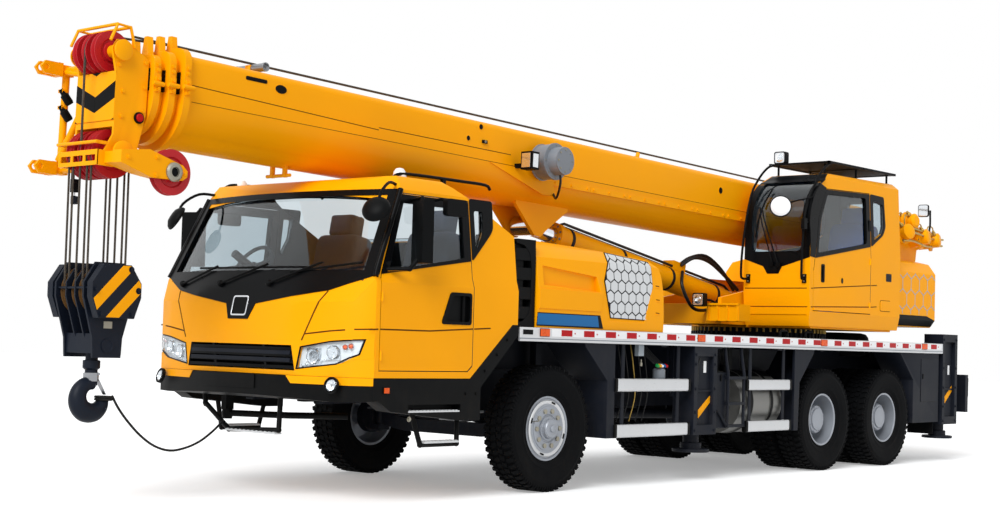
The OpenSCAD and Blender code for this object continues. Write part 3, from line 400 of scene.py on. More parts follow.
def strandGroup():  # laid strands of a rope or wire, on the tube's own UV map
    t, i, o = newGroup("laidStrands", [("UV", "Vector", None), ("Pitch", "Float", 0.09), ("Strands", "Float", 6.0)],
            [("Height", "Float")])
    u, v, _ = axes(t, i.outputs["UV"])
    turn = sums(t, "ADD", sums(t, "MULTIPLY", u, i.outputs["Strands"]), sums(t, "DIVIDE", v, i.outputs["Pitch"]))
    wave = sums(t, "ABSOLUTE", sums(t, "SINE", sums(t, "MULTIPLY", turn, pi)))
    plug(t, wave, o.inputs["Height"])
    return t


def plateGroup():  # lozenges of a tread plate, turned by halves
    t, i, o = newGroup("treadPlate", [("Vector", "Vector", None), ("Scale", "Float", 28.0)], [("Height", "Float")])
    x, y, _ = axes(t, i.outputs["Vector"])
    px, py = sums(t, "MULTIPLY", x, i.outputs["Scale"]), sums(t, "MULTIPLY", y, i.outputs["Scale"])
    odd = sums(t, "PINGPONG", sums(t, "ADD", sums(t, "FLOOR", px), sums(t, "FLOOR", py)), 1)
    fx, fy = sums(t, "SUBTRACT", sums(t, "FRACT", px), 0.5), sums(t, "SUBTRACT", sums(t, "FRACT", py), 0.5)
    p, q = sums(t, "ADD", fx, fy), sums(t, "SUBTRACT", fx, fy)

    def lozenge(a, b):
        far = sums(t, "ADD", sums(t, "MULTIPLY", sums(t, "ABSOLUTE", a), 4.6),
                sums(t, "MULTIPLY", sums(t, "ABSOLUTE", b), 1.3))
        return remap(t, far, 0.45, 0.75, 1, 0)
    one = sums(t, "MULTIPLY", lozenge(p, q), odd)
    two = sums(t, "MULTIPLY", lozenge(q, p), sums(t, "SUBTRACT", 1, odd))
    plug(t, sums(t, "ADD", one, two), o.inputs["Height"])
    return t


def weaveGroup():  # seat cloth
    t, i, o = newGroup("seatWeave", [("Vector", "Vector", None), ("Scale", "Float", 220.0)], [("Height", "Float")])
    x, y, z = axes(t, i.outputs["Vector"])
    wx = sums(t, "SINE", sums(t, "MULTIPLY", sums(t, "ADD", x, z), i.outputs["Scale"]))
    wy = sums(t, "SINE", sums(t, "MULTIPLY", sums(t, "ADD", y, z), i.outputs["Scale"]))
    plug(t, sums(t, "MULTIPLY", wx, wy), o.inputs["Height"])
    return t


groups = dict(tone=toneGroup(), dust=dustGroup(), grain=grainGroup(), brush=brushGroup(), strands=strandGroup(),
        plate=plateGroup(), weave=weaveGroup())


def place(tree, key, vector=None, **values):
    node = tree.nodes.new("ShaderNodeGroup")
    node.node_tree = groups[key]
    if vector is not None:
        plug(tree, vector, node.inputs[0])
    for label, value in values.items():
        node.inputs[label].default_value = value
    return node.outputs


def newMaterial(name):
    mat = bpy.data.materials.new(name)
    mat.use_nodes = True
    t = mat.node_tree
    return mat, t, t.nodes["Principled BSDF"], t.nodes.new("ShaderNodeTexCoord")


def finish(name, colour, rough, metallic=0, coat=0, coatRough=0.06, specular=0.5, drift=0.04, driftScale=1.6, dust=None,
        dustColour=(150, 138, 118), skin=(500, 70, 0.02, 0.0004), brush=None, plate=None, strands=None, weave=None,
        roughDrift=0.06):
    mat, t, bsdf, where = newMaterial(name)
    vector = where.outputs["Object"]
    tone = place(t, "tone", vector, Colour=rgb(*colour), Drift=drift, Scale=driftScale)
    base, roughness = tone["Colour"], remap(t, tone["Patch"], 0.3, 0.7, rough - roughDrift, rough + roughDrift)
    height = None
    if brush:
        value = place(t, "brush", vector, Stretch=brush[0], Scale=brush[1])["Value"]
        roughness = remap(t, value, 0.3, 0.7, rough - brush[2], rough + brush[2])
        height, strength, depth = value, brush[3], 0.0006
    elif strands:
        height, strength, depth = place(t, "strands", where.outputs["UV"], Pitch=strands[0],
                Strands=strands[1])["Height"], 0.9, strands[2]
        # painted shade: the grooves between strands are darkened towards 0.35 of the colour
        base = mixColour(t, remap(t, height, 0, 0.6, 0.75, 0), base, rgb(*[c * 0.35 for c in colour]))
    elif plate:
        height, strength, depth = place(t, "plate", vector, Scale=plate)["Height"], 0.8, 0.003
    elif weave:
        height, strength, depth = place(t, "weave", vector, Scale=weave)["Height"], 0.5, 0.0012
    elif skin:
        height, strength, depth = place(t, "grain", vector, Scale=skin[0], Coarse=skin[1])["Height"], skin[2], skin[3]
    if dust:
        mask = place(t, "dust", vector, Low=dust[0], High=dust[1], Amount=dust[2])["Mask"]
        base = mixColour(t, mask, base, rgb(*dustColour))
        roughness = sums(t, "ADD", roughness, sums(t, "MULTIPLY", mask, 0.35), clamp=True)
    plug(t, base, bsdf.inputs["Base Color"])
    plug(t, roughness, bsdf.inputs["Roughness"])
    for label, value in (("Metallic", metallic), ("Coat Weight", coat), ("Coat Roughness", coatRough),
            ("Specular IOR Level", specular)):
        bsdf.inputs[label].default_value = value
    if height is not None:
        bump = newNode(t, "ShaderNodeBump", {"Strength": strength, "Distance": depth, "Height": height})
        plug(t, bump.outputs[0], bsdf.inputs["Normal"])
    return mat


def clearGlass(name, tint, rough=0):
    mat, t, bsdf, where = newMaterial(name)
    tone = place(t, "tone", where.outputs["Object"], Colour=rgb(*tint), Drift=0.02, Scale=1.2)
    plug(t, tone["Colour"], bsdf.inputs["Base Color"])
    film = place(t, "dust", where.outputs["Object"], Low=0.4, High=3.4, Amount=0.06)["Mask"]
    plug(t, sums(t, "ADD", film, rough, clamp=True), bsdf.inputs["Roughness"])
    bsdf.inputs["Transmission Weight"].default_value = 1.0
    bsdf.inputs["IOR"].default_value = 1.45
    path = t.nodes.new("ShaderNodeLightPath")
    through = newNode(t, "ShaderNodeBsdfTransparent", {0: rgb(*tint)})
    mix = newNode(t, "ShaderNodeMixShader", {0: path.outputs["Is Shadow Ray"], 1: bsdf.outputs[0],
            2: through.outputs[0]})
    plug(t, mix.outputs[0], t.nodes["Material Output"].inputs["Surface"])
    return mat


paints = dict(
    yellow=finish("yellowPaint", (249, 165, 0), 0.42, coat=0.03, specular=0.09, drift=0.02, dust=(0.2, 1.5, 0.06)),
    navy=finish("navyPaint", (19, 23, 32), 0.5, specular=0.12, drift=0.08, dust=(0.1, 1.4, 0.08)),
    deck=finish("deckPlate", (22, 25, 31), 0.55, specular=0.12, plate=26.0, drift=0.1, dust=(0.5, 1.6, 0.2)),
    black=finish("blackPlastic", (6, 7, 8), 0.5, specular=0.08, drift=0.08, dust=(0.1, 1.2, 0.05),
            skin=(900, 220, 0.2, 0.001)),
    gloss=finish("blackGloss", (8, 9, 11), 0.3, specular=0.08, drift=0.05),
    # painted shade: a darkened copy of the yellow, laid as thin strips along creases, seams, welds and slits
    seamShade=finish("seamShadow", (92, 54, 6), 0.7, specular=0.1, drift=0.05, skin=None),
    rail=finish("railAluminium", (208, 210, 212), 0.4, metallic=0.35, brush=((1, 30, 30), 14.0, 0.1, 0.12),
            dust=(0.3, 1.4, 0.06)),
    tank=finish("tankAluminium", (116, 116, 113), 0.38, metallic=0.7, brush=((30, 1, 30), 10.0, 0.1, 0.1),
            dust=(0.2, 1.1, 0.08)),
    rim=finish("rimSilver", (150, 155, 163), 0.4, metallic=0.4, coat=0.05, drift=0.05, dust=(0, 1.0, 0.1)),
    steel=finish("bareSteel", (150, 152, 156), 0.36, metallic=0.9, drift=0.08, brush=((8, 8, 30), 18.0, 0.12, 0.12),
            dust=(0.2, 1.1, 0.25)),
    zinc=finish("zincFastener", (150, 146, 132), 0.42, metallic=0.7, drift=0.12),
    brass=finish("brassFitting", (176, 146, 74), 0.4, metallic=0.8, drift=0.12),
    chrome=finish("rodChrome", (222, 224, 228), 0.12, metallic=1.0, drift=0.02, roughDrift=0.04),
    red=finish("sheaveRed", (176, 18, 28), 0.42, specular=0.35, drift=0.07, skin=(700, 120, 0.1, 0.0008)),
    rope=finish("wireRope", (78, 70, 60), 0.5, metallic=0.5, strands=(0.11, 6.0, 0.004), drift=0.15, driftScale=6),
    cord=finish("tetherRope", (30, 30, 29), 0.75, specular=0.2, strands=(0.07, 3.0, 0.004), drift=0.2, driftScale=9),
    hook=finish("castHook", (17, 23, 34), 0.45, specular=0.14, drift=0.14, driftScale=5,
            skin=(160, 40, 0.25, 0.003)),
    rubber=finish("tyreRubber", (8, 9, 11), 0.78, specular=0.07, drift=0.12, dust=(0, 0.9, 0.07),
            dustColour=(96, 90, 82), skin=(300, 60, 0.2, 0.002)),
    hose=finish("hoseRubber", (14, 15, 16), 0.5, specular=0.3, drift=0.1, skin=(800, 150, 0.15, 0.001)),
    inside=finish("cabTrim", (52, 54, 58), 0.7, drift=0.07, skin=(700, 160, 0.3, 0.0016)),
    seat=finish("seatCloth", (28, 92, 180), 0.85, weave=260.0, drift=0.12, driftScale=4),
    greySeat=finish("greyCloth", (56, 66, 84), 0.88, weave=260.0, drift=0.1, driftScale=4),
    grey=finish("reelGrey", (116, 122, 130), 0.42, drift=0.06),
    white=finish("whitePaint", (236, 238, 240), 0.35, coat=0.2, drift=0.02),
    green=finish("greenCap", (20, 150, 70), 0.4, drift=0.06),
    amber=finish("amberLens", (226, 84, 6), 0.3, specular=0.3, drift=0.08, driftScale=40),
    redLens=finish("redLens", (176, 8, 18), 0.35, specular=0.15, drift=0.08, driftScale=40),
    reflector=finish("lampBowl", (226, 230, 234), 0.16, metallic=0.9, drift=0.06, driftScale=60, roughDrift=0.08),
    mirror=finish("mirrorGlass", (236, 240, 244), 0.05, metallic=1.0, drift=0.01, skin=None, roughDrift=0.02),
    blue=finish("blueStrip", (14, 100, 160), 0.42, specular=0.2, drift=0.03),
    cell=finish("silverCells", (206, 209, 211), 0.4, metallic=0.25, drift=0.03),
    alu=finish("guardAluminium", (200, 202, 204), 0.34, metallic=0.7, brush=((1, 30, 30), 14.0, 0.08, 0.1),
            dust=(0.2, 1.2, 0.05)),
    line=finish("paleLine", (150, 160, 168), 0.5, drift=0.04),
    coil=finish("ropeCoil", (88, 78, 62), 0.5, metallic=0.5, drift=0.16, driftScale=9),
    sheave=finish("castSheave", (92, 64, 30), 0.55, specular=0.2, drift=0.16, driftScale=7),
    glass=clearGlass("paneGlass", (206, 217, 222)),
    lens=clearGlass("lampLens", (245, 248, 250)),
)
print("stage: finishes ready")


# tether rope between the tie frame and the hook, on the route of its solid
tetherRope = dict(radius=0.009, route=[(2263, -300, 561), (2380, -280, 480), (2540, -240, 405), (2720, -190, 362),
        (2900, -140, 352), (3080, -90, 395), (3240, -50, 480), (3380, -20, 590), (3480, 0, 690), (3535, 0, 775)])


def makeTether():
    line = smoothLine([at(*p) for p in tetherRope["route"]], 4)
    kit = Kit("tetherCord")
    kit.tube(line, tetherRope["radius"], "cord")
    obj = kit.finish("carrier", "cord_black", replaces=("tether",))


makeTether()
print("stage: tether hung")


# CAD nodes take their finishes, with softened edges
def millimetres(v):
    return (v.x - axleX) * 1000, v.y * 1000, v.z * 1000


def dress(node, mats, rule=None, bevel=0.004, angle=35, segments=2):
    bm = mergedCopy(node)
    if rule:
        for face in bm.faces:
            x, y, z = millimetres(face.calc_center_median())
            face.material_index = rule(x, y, z, face.normal)
    mesh = bpy.data.meshes.new(node + "Dressed")
    bm.to_mesh(mesh)
    bm.free()
    smoothMesh(mesh, mats, angle)
    obj = linkMesh(mesh.name, mesh)
    if bevel:
        softEdge(obj, bevel, angle, segments)
    return seat(obj, frame["nodes"][node]["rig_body"], (node,))


def cabRule(x, y, z, n):  # edges of the openings are black, faces that look into the cab are trim
    edge = abs(n.x * 0.891 + n.z * 0.454) < 0.46 or x < 2318 - (z - 1680) * 0.514 - y * y / 8000
    if 1725 < z < 2372 and abs(y) < 1160 and x > 1780 and edge:
        return 2
    if 1960 < z < 2290 and 885 < x < 1010 and abs(n.y) < 0.5:
        return 2
    return 1 if Vector((x - 1440, y, z - 1700)).dot(n) < -60 else 0


def doorRule(x, y, z, n):
    outside = abs(y) > 1130 and abs(y) > 1228 - (z - 1740) * 0.117 + 12
    if abs(y) > 1268 or (outside and z > 1752 and x > 1660 and abs(n.z) < 0.99):
        return 2
    if 1095 < x < 1405 and 1380 < z < 1605 and 1215 < abs(y) < 1249.5:
        return 2
    if z > 1700 and abs(n.y) < 0.5:
        return 2
    return 1 if n.y * y < -0.5 * abs(y) else 0


def railRule(x, y, z, n):
    return 1 if z < 1250 and abs(y) < 1190.5 else 0


def tankRule(x, y, z, n):
    r = hypot(abs(y) - 855, z - 720)
    if z > 975:
        return 1
    return 1 if r > 312 and abs(n.x) < 0.5 else 0


def opCabRule(x, y, z, n):
    return 1 if Vector((x + 5100, y - 820, z - 2300)).dot(n) < -60 else 0


def opDoorRule(x, y, z, n):
    if -4415 < x < -4355 and 1970 < z < 2150 and 1195 < y < 1219.5:
        return 2
    if z > 2240 and abs(n.y) < 0.5 and -5350 < x < -4245:
        return 2
    return 1 if n.y < -0.5 else 0


def seatRule(x, y, z, n):
    return 0 if 480 < abs(y) < 900 and z > 1180 and x < 1560 else 1


def fittingRule(x, y, z, n):
    if y > 335 and hypot(x + 780, z - 2880) < 230:
        return 1
    if y > 335 and x > -560:
        return 2
    return 0


def opSeatRule(x, y, z, n):
    return 0 if abs(y - 820) < 245 and z > 1700 else 1


wheelNames = [a + "_" + b for a in ("front", "second", "third") for b in ("left", "right")]
postNames = [a + "_" + b for a in ("front", "rear") for b in ("left", "right")]


def dressNodes():
    dress("chassis_frame", ["navy"], bevel=0.006)
    dress("drivetrain", ["navy"], bevel=0.005)
    dress("deck", ["deck"], bevel=0.003)
    dress("side_rails", ["rail", "navy"], railRule, bevel=0.009, segments=3)
    dress("cab_shell", ["yellow", "inside", "gloss"], cabRule, bevel=0.012, segments=3)
    dress("bumper", ["black"], bevel=0.008)
    dress("cab_glass", ["glass"], bevel=0)
    dress("cab_interior", ["greySeat", "inside"], seatRule, bevel=0.012, segments=3)
    dress("engine_hood", ["yellow"], bevel=0.014, segments=3)
    dress("air_intake", ["black"], bevel=0.01)
    dress("fenders", ["navy"], bevel=0.005)
    dress("fuel_tank", ["tank", "black"], tankRule, bevel=0.01, segments=3)
    dress("slew_ring", ["navy"], bevel=0.002)
    for side in ("left", "right"):
        dress("knuckle_" + side, ["navy"], bevel=0.004)
        dress("door_" + side, ["yellow", "inside", "black"], doorRule, bevel=0.006)
    for wheel in wheelNames:
        dress("rim_" + wheel, ["rim"], bevel=0.003)
    for post in postNames:
        dress("beam_" + post, ["navy"], bevel=0.006)
        dress("jack_" + post, ["navy"], bevel=0.004)
    dress("turntable", ["yellow"], bevel=0.006)
    dress("winches", ["zinc"], bevel=0.004)
    dress("operator_cab", ["yellow", "inside"], opCabRule, bevel=0.012, segments=3)
    dress("operator_glass", ["glass"], bevel=0)
    dress("operator_interior", ["seat", "inside"], opSeatRule, bevel=0.012, segments=3)
    dress("counterweight", ["yellow"], bevel=0.045, segments=4)
    dress("operator_door", ["yellow", "inside", "black"], opDoorRule, bevel=0.006)
    dress("boom_base", ["yellow"], bevel=0.004)
    dress("boom_fittings", ["yellow", "grey", "black"], fittingRule, bevel=0.005)
    for node in ("boom_second", "boom_third", "boom_fourth", "boom_head"):
        dress(node, ["yellow"], bevel=0.004)


dressNodes()
print("stage: CAD nodes dressed")


# tyres: turned carcass with tread lugs from a node tree
tyreForm = dict(radius=0.530, treadDepth=0.017, halfWidth=0.145, rimRadius=0.272, lugs=52, shoulderLength=0.062,
        lugWidth=0.034, skew=14.0, centreLugs=0.048)


def newTree(name, ins):
    return newGroup(name, ins, [("Geometry", "Geometry")], "GeometryNodeTree")


def endTree(tree, out, geometry, finish):  # the instances become one mesh with one finish
    real = newNode(tree, "GeometryNodeRealizeInstances", {"Geometry": geometry})
    done = newNode(tree, "GeometryNodeSetMaterial", {"Geometry": real.outputs[0], "Material": finish})
    plug(tree, done.outputs[0], out.inputs[0])
    return tree


def treadTree():
    t, i, o = newTree("treadLugs", [("Radius", "Float", 0.53), ("Depth", "Float", 0.017),
            ("Half Width", "Float", 0.145), ("Lugs", "Int", 52), ("Shoulder", "Float", 0.062),
            ("Lug Width", "Float", 0.034), ("Centre", "Float", 0.048), ("Skew", "Float", 14.0),
            ("Finish", "Material", None)])
    ins = i.outputs
    circle = newNode(t, "GeometryNodeMeshCircle", {"Vertices": ins["Lugs"],
            "Radius": sums(t, "SUBTRACT", ins["Radius"], sums(t, "MULTIPLY", ins["Depth"], 0.75))})
    tilt = sums(t, "RADIANS", ins["Skew"])
    pieces = []
    for side in (-1, 1):
        for length, share, wide, turn in (("Shoulder", 0.70, 1.0, 1), ("Centre", 0.20, 1.15, -1)):
            size = newNode(t, "ShaderNodeCombineXYZ", {"X": sums(t, "MULTIPLY", ins["Depth"], 1.5),
                    "Y": sums(t, "MULTIPLY", ins["Lug Width"], wide), "Z": ins[length]})
            cube = newNode(t, "GeometryNodeMeshCube", {"Size": size.outputs[0]})
            spin = newNode(t, "ShaderNodeCombineXYZ", {"X": sums(t, "MULTIPLY", tilt, side * turn), "Y": 0, "Z": 0})
            shift = newNode(t, "ShaderNodeCombineXYZ", {"X": 0, "Y": side * 0.007 * turn,
                    "Z": sums(t, "MULTIPLY", ins["Half Width"], share * side)})
            pieces.append(newNode(t, "GeometryNodeTransform", {"Geometry": cube.outputs["Mesh"],
                    "Translation": shift.outputs[0], "Rotation": spin.outputs[0]}).outputs[0])
    join = newNode(t, "GeometryNodeJoinGeometry")
    for piece in pieces:
        t.links.new(piece, join.inputs[0])
    aim = newNode(t, "FunctionNodeAlignRotationToVector", {"Vector": newNode(t,
            "GeometryNodeInputPosition").outputs[0]}, axis="X", pivot_axis="Z")
    put = newNode(t, "GeometryNodeInstanceOnPoints", {"Points": circle.outputs[0], "Instance": join.outputs[0],
            "Rotation": aim.outputs[0]})
    return endTree(t, o, put.outputs[0], ins["Finish"])


def grow(tree, name, values, seedMesh=None):  # runs a node tree and returns its result as a plain mesh
    obj = linkMesh(name, seedMesh or bpy.data.meshes.new(name))
    mod = obj.modifiers.new("make", "NODES")
    mod.node_group = tree
    for item in tree.interface.items_tree:
        if item.item_type == "SOCKET" and item.in_out == "INPUT" and item.name in values:
            mod[item.identifier] = values[item.name]
    bpy.context.view_layer.update()
    graph = bpy.context.evaluated_depsgraph_get()
    mesh = bpy.data.meshes.new_from_object(obj.evaluated_get(graph))
    mesh.name = name
    bpy.data.objects.remove(obj)
    return mesh


treads = treadTree()


def tyreMesh():
    f = tyreForm
    mesh = grow(treads, "treadRing", {"Radius": f["radius"], "Depth": f["treadDepth"], "Half Width": f["halfWidth"],
            "Lugs": f["lugs"], "Shoulder": f["shoulderLength"], "Lug Width": f["lugWidth"], "Centre": f["centreLugs"],
            "Skew": f["skew"], "Finish": paints["rubber"]})
    w, r, d = f["halfWidth"], f["radius"], f["treadDepth"]
    side = [(f["rimRadius"] + 0.002, 0.60 * w), (f["rimRadius"] + 0.004, 0.76 * w), (0.292, 0.80 * w),
            (0.300, 0.79 * w), (0.312, 0.85 * w), (0.330, 0.885 * w), (0.334, 0.905 * w), (0.342, 0.905 * w),
            (0.346, 0.90 * w), (0.380, 0.965 * w), (0.415, 0.995 * w), (0.448, 0.995 * w), (0.452, 1.0 * w),
            (0.462, 0.995 * w), (0.466, 0.98 * w), (0.488, 0.955 * w), (0.503, 0.925 * w), (r - d - 0.001, 0.86 * w),
            (r - d + 0.001, 0.78 * w), (r - d + 0.003, 0.3 * w)]
    kit = Kit("carcass")
    kit.turn([(a, -b) for a, b in side] + [(a, b) for a, b in reversed(side)] + [(side[0][0], -side[0][1])], (0, 0, 0),
            (0, 0, 1), "rubber", 96)
    shoulder = 2 * f["lugs"]
    for k in range(shoulder):  # short side cuts of the shoulder
        a = 2 * pi * (k + 0.5) / shoulder
        for s in (-1, 1):
            def rim(rad, h, da):
                return Vector((rad * cos(a + da), rad * sin(a + da), s * h))
            da = 0.011
            kit.hexa([rim(r0, h, q) for h in (0.9 * w, 0.972 * w) for r0 in (0.484, 0.5105) for q in (-da, da)],
                    "rubber")
    bm = kit.bm
    bmesh.ops.recalc_face_normals(bm, faces=bm.faces)
    bm.from_mesh(mesh)
    out = bpy.data.meshes.new("tyreShape")
    bm.to_mesh(out)
    bm.free()
    for poly in out.polygons:
        poly.material_index = 0
    return out


wheelSpots = dict(front=(0, 1050, None), second=(-4500, 1072, 738), third=(-5850, 1072, 738))


def makeTyres():
    shape = tyreMesh()
    for wheel in wheelNames:
        axle, side = wheel.split("_")
        x, outer, inner = wheelSpots[axle]
        s = 1 if side == "left" else -1
        bm = bmesh.new()
        for y in (outer, inner):
            if y is None:
                continue
            copy = shape.copy()
            copy.transform(Matrix.Translation(at(x, s * y,
                    tyreForm["radius"] * 1000)) @ Matrix.Rotation(radians(-90 * s), 4, "X"))
            bm.from_mesh(copy)
        mesh = bpy.data.meshes.new("tyre_" + wheel + "Tread")
        bm.to_mesh(mesh)
        bm.free()
        smoothMesh(mesh, ["rubber"], 32)
        seat(linkMesh(mesh.name, mesh), "wheel_" + wheel, ("tyre_" + wheel,))


makeTyres()
print("stage: tyres made")


# panels that follow a curved surface: an outline in two of its coordinates, with holes, given thickness
def within(poly, u, v):
    inside = False
    for (a, b), (c, d) in zip(poly, poly[1:] + poly[:1]):
        if (b > v) != (d > v) and u < (c - a) * (v - b) / (d - b) + a:
            inside = not inside
    return inside


def cutFine(poly, step):
    pts = []
    for (a, b), (c, d) in zip(poly, poly[1:] + poly[:1]):
        n = max(1, int(hypot(c - a, d - b) / step))
        pts += [(a + (c - a) * k / n, b + (d - b) * k / n) for k in range(n)]
    return pts


def withRows(loop, rows):  # adds the points where an outline crosses a kink of the surface
    out = []
    for p, q in zip(loop, loop[1:] + loop[:1]):
        out.append(p)
        for v in sorted([v for v in rows if (p[1] - v) * (q[1] - v) < 0], key=lambda v: abs(v - p[1])):
            out.append((p[0] + (q[0] - p[0]) * (v - p[1]) / (q[1] - p[1]), v))
    return out


def panel(kit, outline, where, mat, lift=3, thick=6, holes=(), step=90, rows=()):
    loops = [withRows(cutFine(list(p), step), rows) for p in (outline,) + tuple(holes)]

    def covers(u, v):
        return within(loops[0], u, v) and not any(within(h, u, v) for h in loops[1:])
    pts, faces = [], []
    for loop in loops:
        faces.append(list(range(len(pts), len(pts) + len(loop))))
        pts += [Vector(p) for p in loop]
    us, vs = [p[0] for p in outline], [p[1] for p in outline]
    kinks = []
    for v in rows:
        line = [i for i, p in enumerate(pts) if abs(p.y - v) < 0.001]
        for i in range(1, int((max(us) - min(us)) / step)):
            u = min(us) + i * step
            if covers(u, v) and all(abs(pts[k].x - u) > step * 0.3 for k in line):
                line.append(len(pts))
                pts.append(Vector((u, v)))
        line.sort(key=lambda k: pts[k].x)
        kinks += [(a, b) for a, b in zip(line, line[1:]) if covers((pts[a].x + pts[b].x) / 2, v)]
    for i in range(1, int((max(us) - min(us)) / step)):
        for j in range(1, int((max(vs) - min(vs)) / step)):
            u, v = min(us) + i * step, min(vs) + j * step
            if covers(u, v) and min((Vector((u, v)) - p).length for p in pts) > step * 0.3:
                pts.append(Vector((u, v)))
    flat, _, tris, *_ = delaunay_2d_cdt(pts, kinks, faces, 1, 0.0001)
    kept = []
    for tri in tris:
        if covers(sum(flat[i].x for i in tri) / len(tri), sum(flat[i].y for i in tri) / len(tri)):
            kept.append(tuple(tri))
    n = len(flat)
    verts = [where(p.x, p.y, lift) for p in flat] + [where(p.x, p.y, lift - thick) for p in flat]
    solid = kept + [tuple(i + n for i in reversed(t)) for t in kept]
    edges = {}
    for t in kept:
        for a, b in zip(t, t[1:] + t[:1]):
            edges[(a, b)] = (b, a) not in edges and (a, b) not in edges
            if (b, a) in edges:
                edges[(b, a)] = edges[(a, b)] = False
    solid += [(b, a, a + n, b + n) for (a, b), rim in edges.items() if rim]
    used = sorted({i for f in solid for i in f})
    order = {k: i for i, k in enumerate(used)}
    kit.add([verts[k] for k in used], [tuple(order[i] for i in f) for f in solid], mat)


def ribbon(points, width):  # a bent strip as an outline
    pts = [Vector(p) for p in points]
    left, right = [], []
    for i, p in enumerate(pts):
        a, b = pts[max(i - 1, 0)], pts[min(i + 1, len(pts) - 1)]
        ahead = (b - a).normalized()
        out = Vector((-ahead.y, ahead.x)) * width / 2
        left.append(tuple(p + out))
        right.append(tuple(p - out))
    return left + right[::-1]


def grownBy(poly, d):  # moves every edge of a convex outline outwards
    mid = Vector((sum(p[0] for p in poly) / len(poly), sum(p[1] for p in poly) / len(poly)))
    lines = []
    for a, b in zip(poly, poly[1:] + poly[:1]):
        a, b = Vector(a), Vector(b)
        out = Vector((b.y - a.y, a.x - b.x)).normalized()
        if out.dot((a + b) / 2 - mid) < 0:
            out = -out
        lines.append((a + out * d, (b - a).normalized()))
    pts = []
    for (p, u), (q, v) in zip(lines[-1:] + lines[:-1], lines):
        cross = u.x * v.y - u.y * v.x
        if abs(cross) < 1e-6:
            pts.append(tuple(q))
            continue
        t = ((q - p).x * v.y - (q - p).y * v.x) / cross
        pts.append(tuple(p + u * t))
    return pts


def flip(poly):
    return [(-a, b) for a, b in poly]


def rounded(poly, radius, steps=4):  # softens the corners of an outline
    pts, n = [Vector(p) for p in poly], len(poly)
    out = []
    for i, p in enumerate(pts):
        a, b = pts[i - 1], pts[(i + 1) % n]
        r = min(radius, (a - p).length * 0.45, (b - p).length * 0.45)
        s, e = p + (a - p).normalized() * r, p + (b - p).normalized() * r
        for k in range(steps + 1):
            t = k / steps
            out.append(tuple((1 - t) ** 2 * s + 2 * t * (1 - t) * p + t * t * e))
    return out


def along(table, z):  # straight steps through pairs of height and value
    if z <= table[0][0]:
        return table[0][1]
    for (a, p), (b, q) in zip(table, table[1:]):
        if z <= b:
            return p + (q - p) * (z - a) / (b - a)
    return table[-1][1]


cabForm = dict(nose=2420, kink=1140, corner=1.16, profile=[(950, 2360), (1280, 2420), (1680, 2330), (2400, 1960),
        (2490, 1800)], bow=4000, screenBow=4600, lean=27, half=[(500, 1250), (1660, 1250), (1740, 1225), (2380, 1150),
        (2445, 1110), (2510, 1040)])


def cabPlan(y):  # bowed nose with cut corners
    kink = cabForm["kink"]
    bow = min(abs(y), kink) ** 2 / (2 * cabForm["bow"])
    return cabForm["nose"] - bow - max(abs(y) - kink, 0) * cabForm["corner"]


def cabFront(y, z, d):
    lean = radians(cabForm["lean"])
    screen = 2330 - y * y / (2 * cabForm["screenBow"] * cos(lean)) - (z - 1680) * tan(lean)
    return at(min(along(cabForm["profile"], z), cabPlan(y), screen) + d, y, z)


def bumperFace(y, z, d):
    return at(cabPlan(y) + d, y, z)


def cabCorner(s, z):
    y = along(cabForm["half"], z)
    return cabFront(s * y, z, 0)


def cabSide(s):
    return lambda x, z, d: at(x, s * (along(cabForm["half"], z) + d), z)


def hoodSide(s, top=1222):
    table = [(1300, 1205), (1500, 1222), (1720, 1222), (1960, 1190), (2060, 1110), (2120, 960)]
    return lambda x, z, d: at(x, s * (min(along(table, z), top) + d), z)


cabTrim = dict(opening=[(-1128, 1748), (-1064, 2336), (1064, 2336), (1128, 1748)],
        mask=[(-1212, 1702), (-1222, 1740), (-1146, 2385), (1146, 2385), (1222, 1740), (1212, 1702), (889, 1592),
        (175, 1486), (118, 1366), (-118, 1366), (-175, 1486), (-889, 1592)],
        doorPane=[(2000, 1742), (1800, 2285), (1130, 2285), (1130, 1885)],
        doorMask=[(2067, 1722), (1810, 2344), (1064, 2344), (1064, 1872)],
        quarterPane=[(1005, 2285), (1005, 1985), (975, 1965), (900, 2110), (890, 2285)],
        quarterMask=[(1050, 1884), (1050, 2374), (772, 2374), (778, 2150), (812, 2100), (1034, 1884)],
        pillar=[(2090, 1718), (2128, 1700), (1842, 2360), (1820, 2360)],
        handle=[(1085, 1618), (1330, 1618), (1422, 1388), (1412, 1368), (1085, 1368)],
        handleHole=[(1106, 1594), (1300, 1594), (1384, 1392), (1106, 1392)])


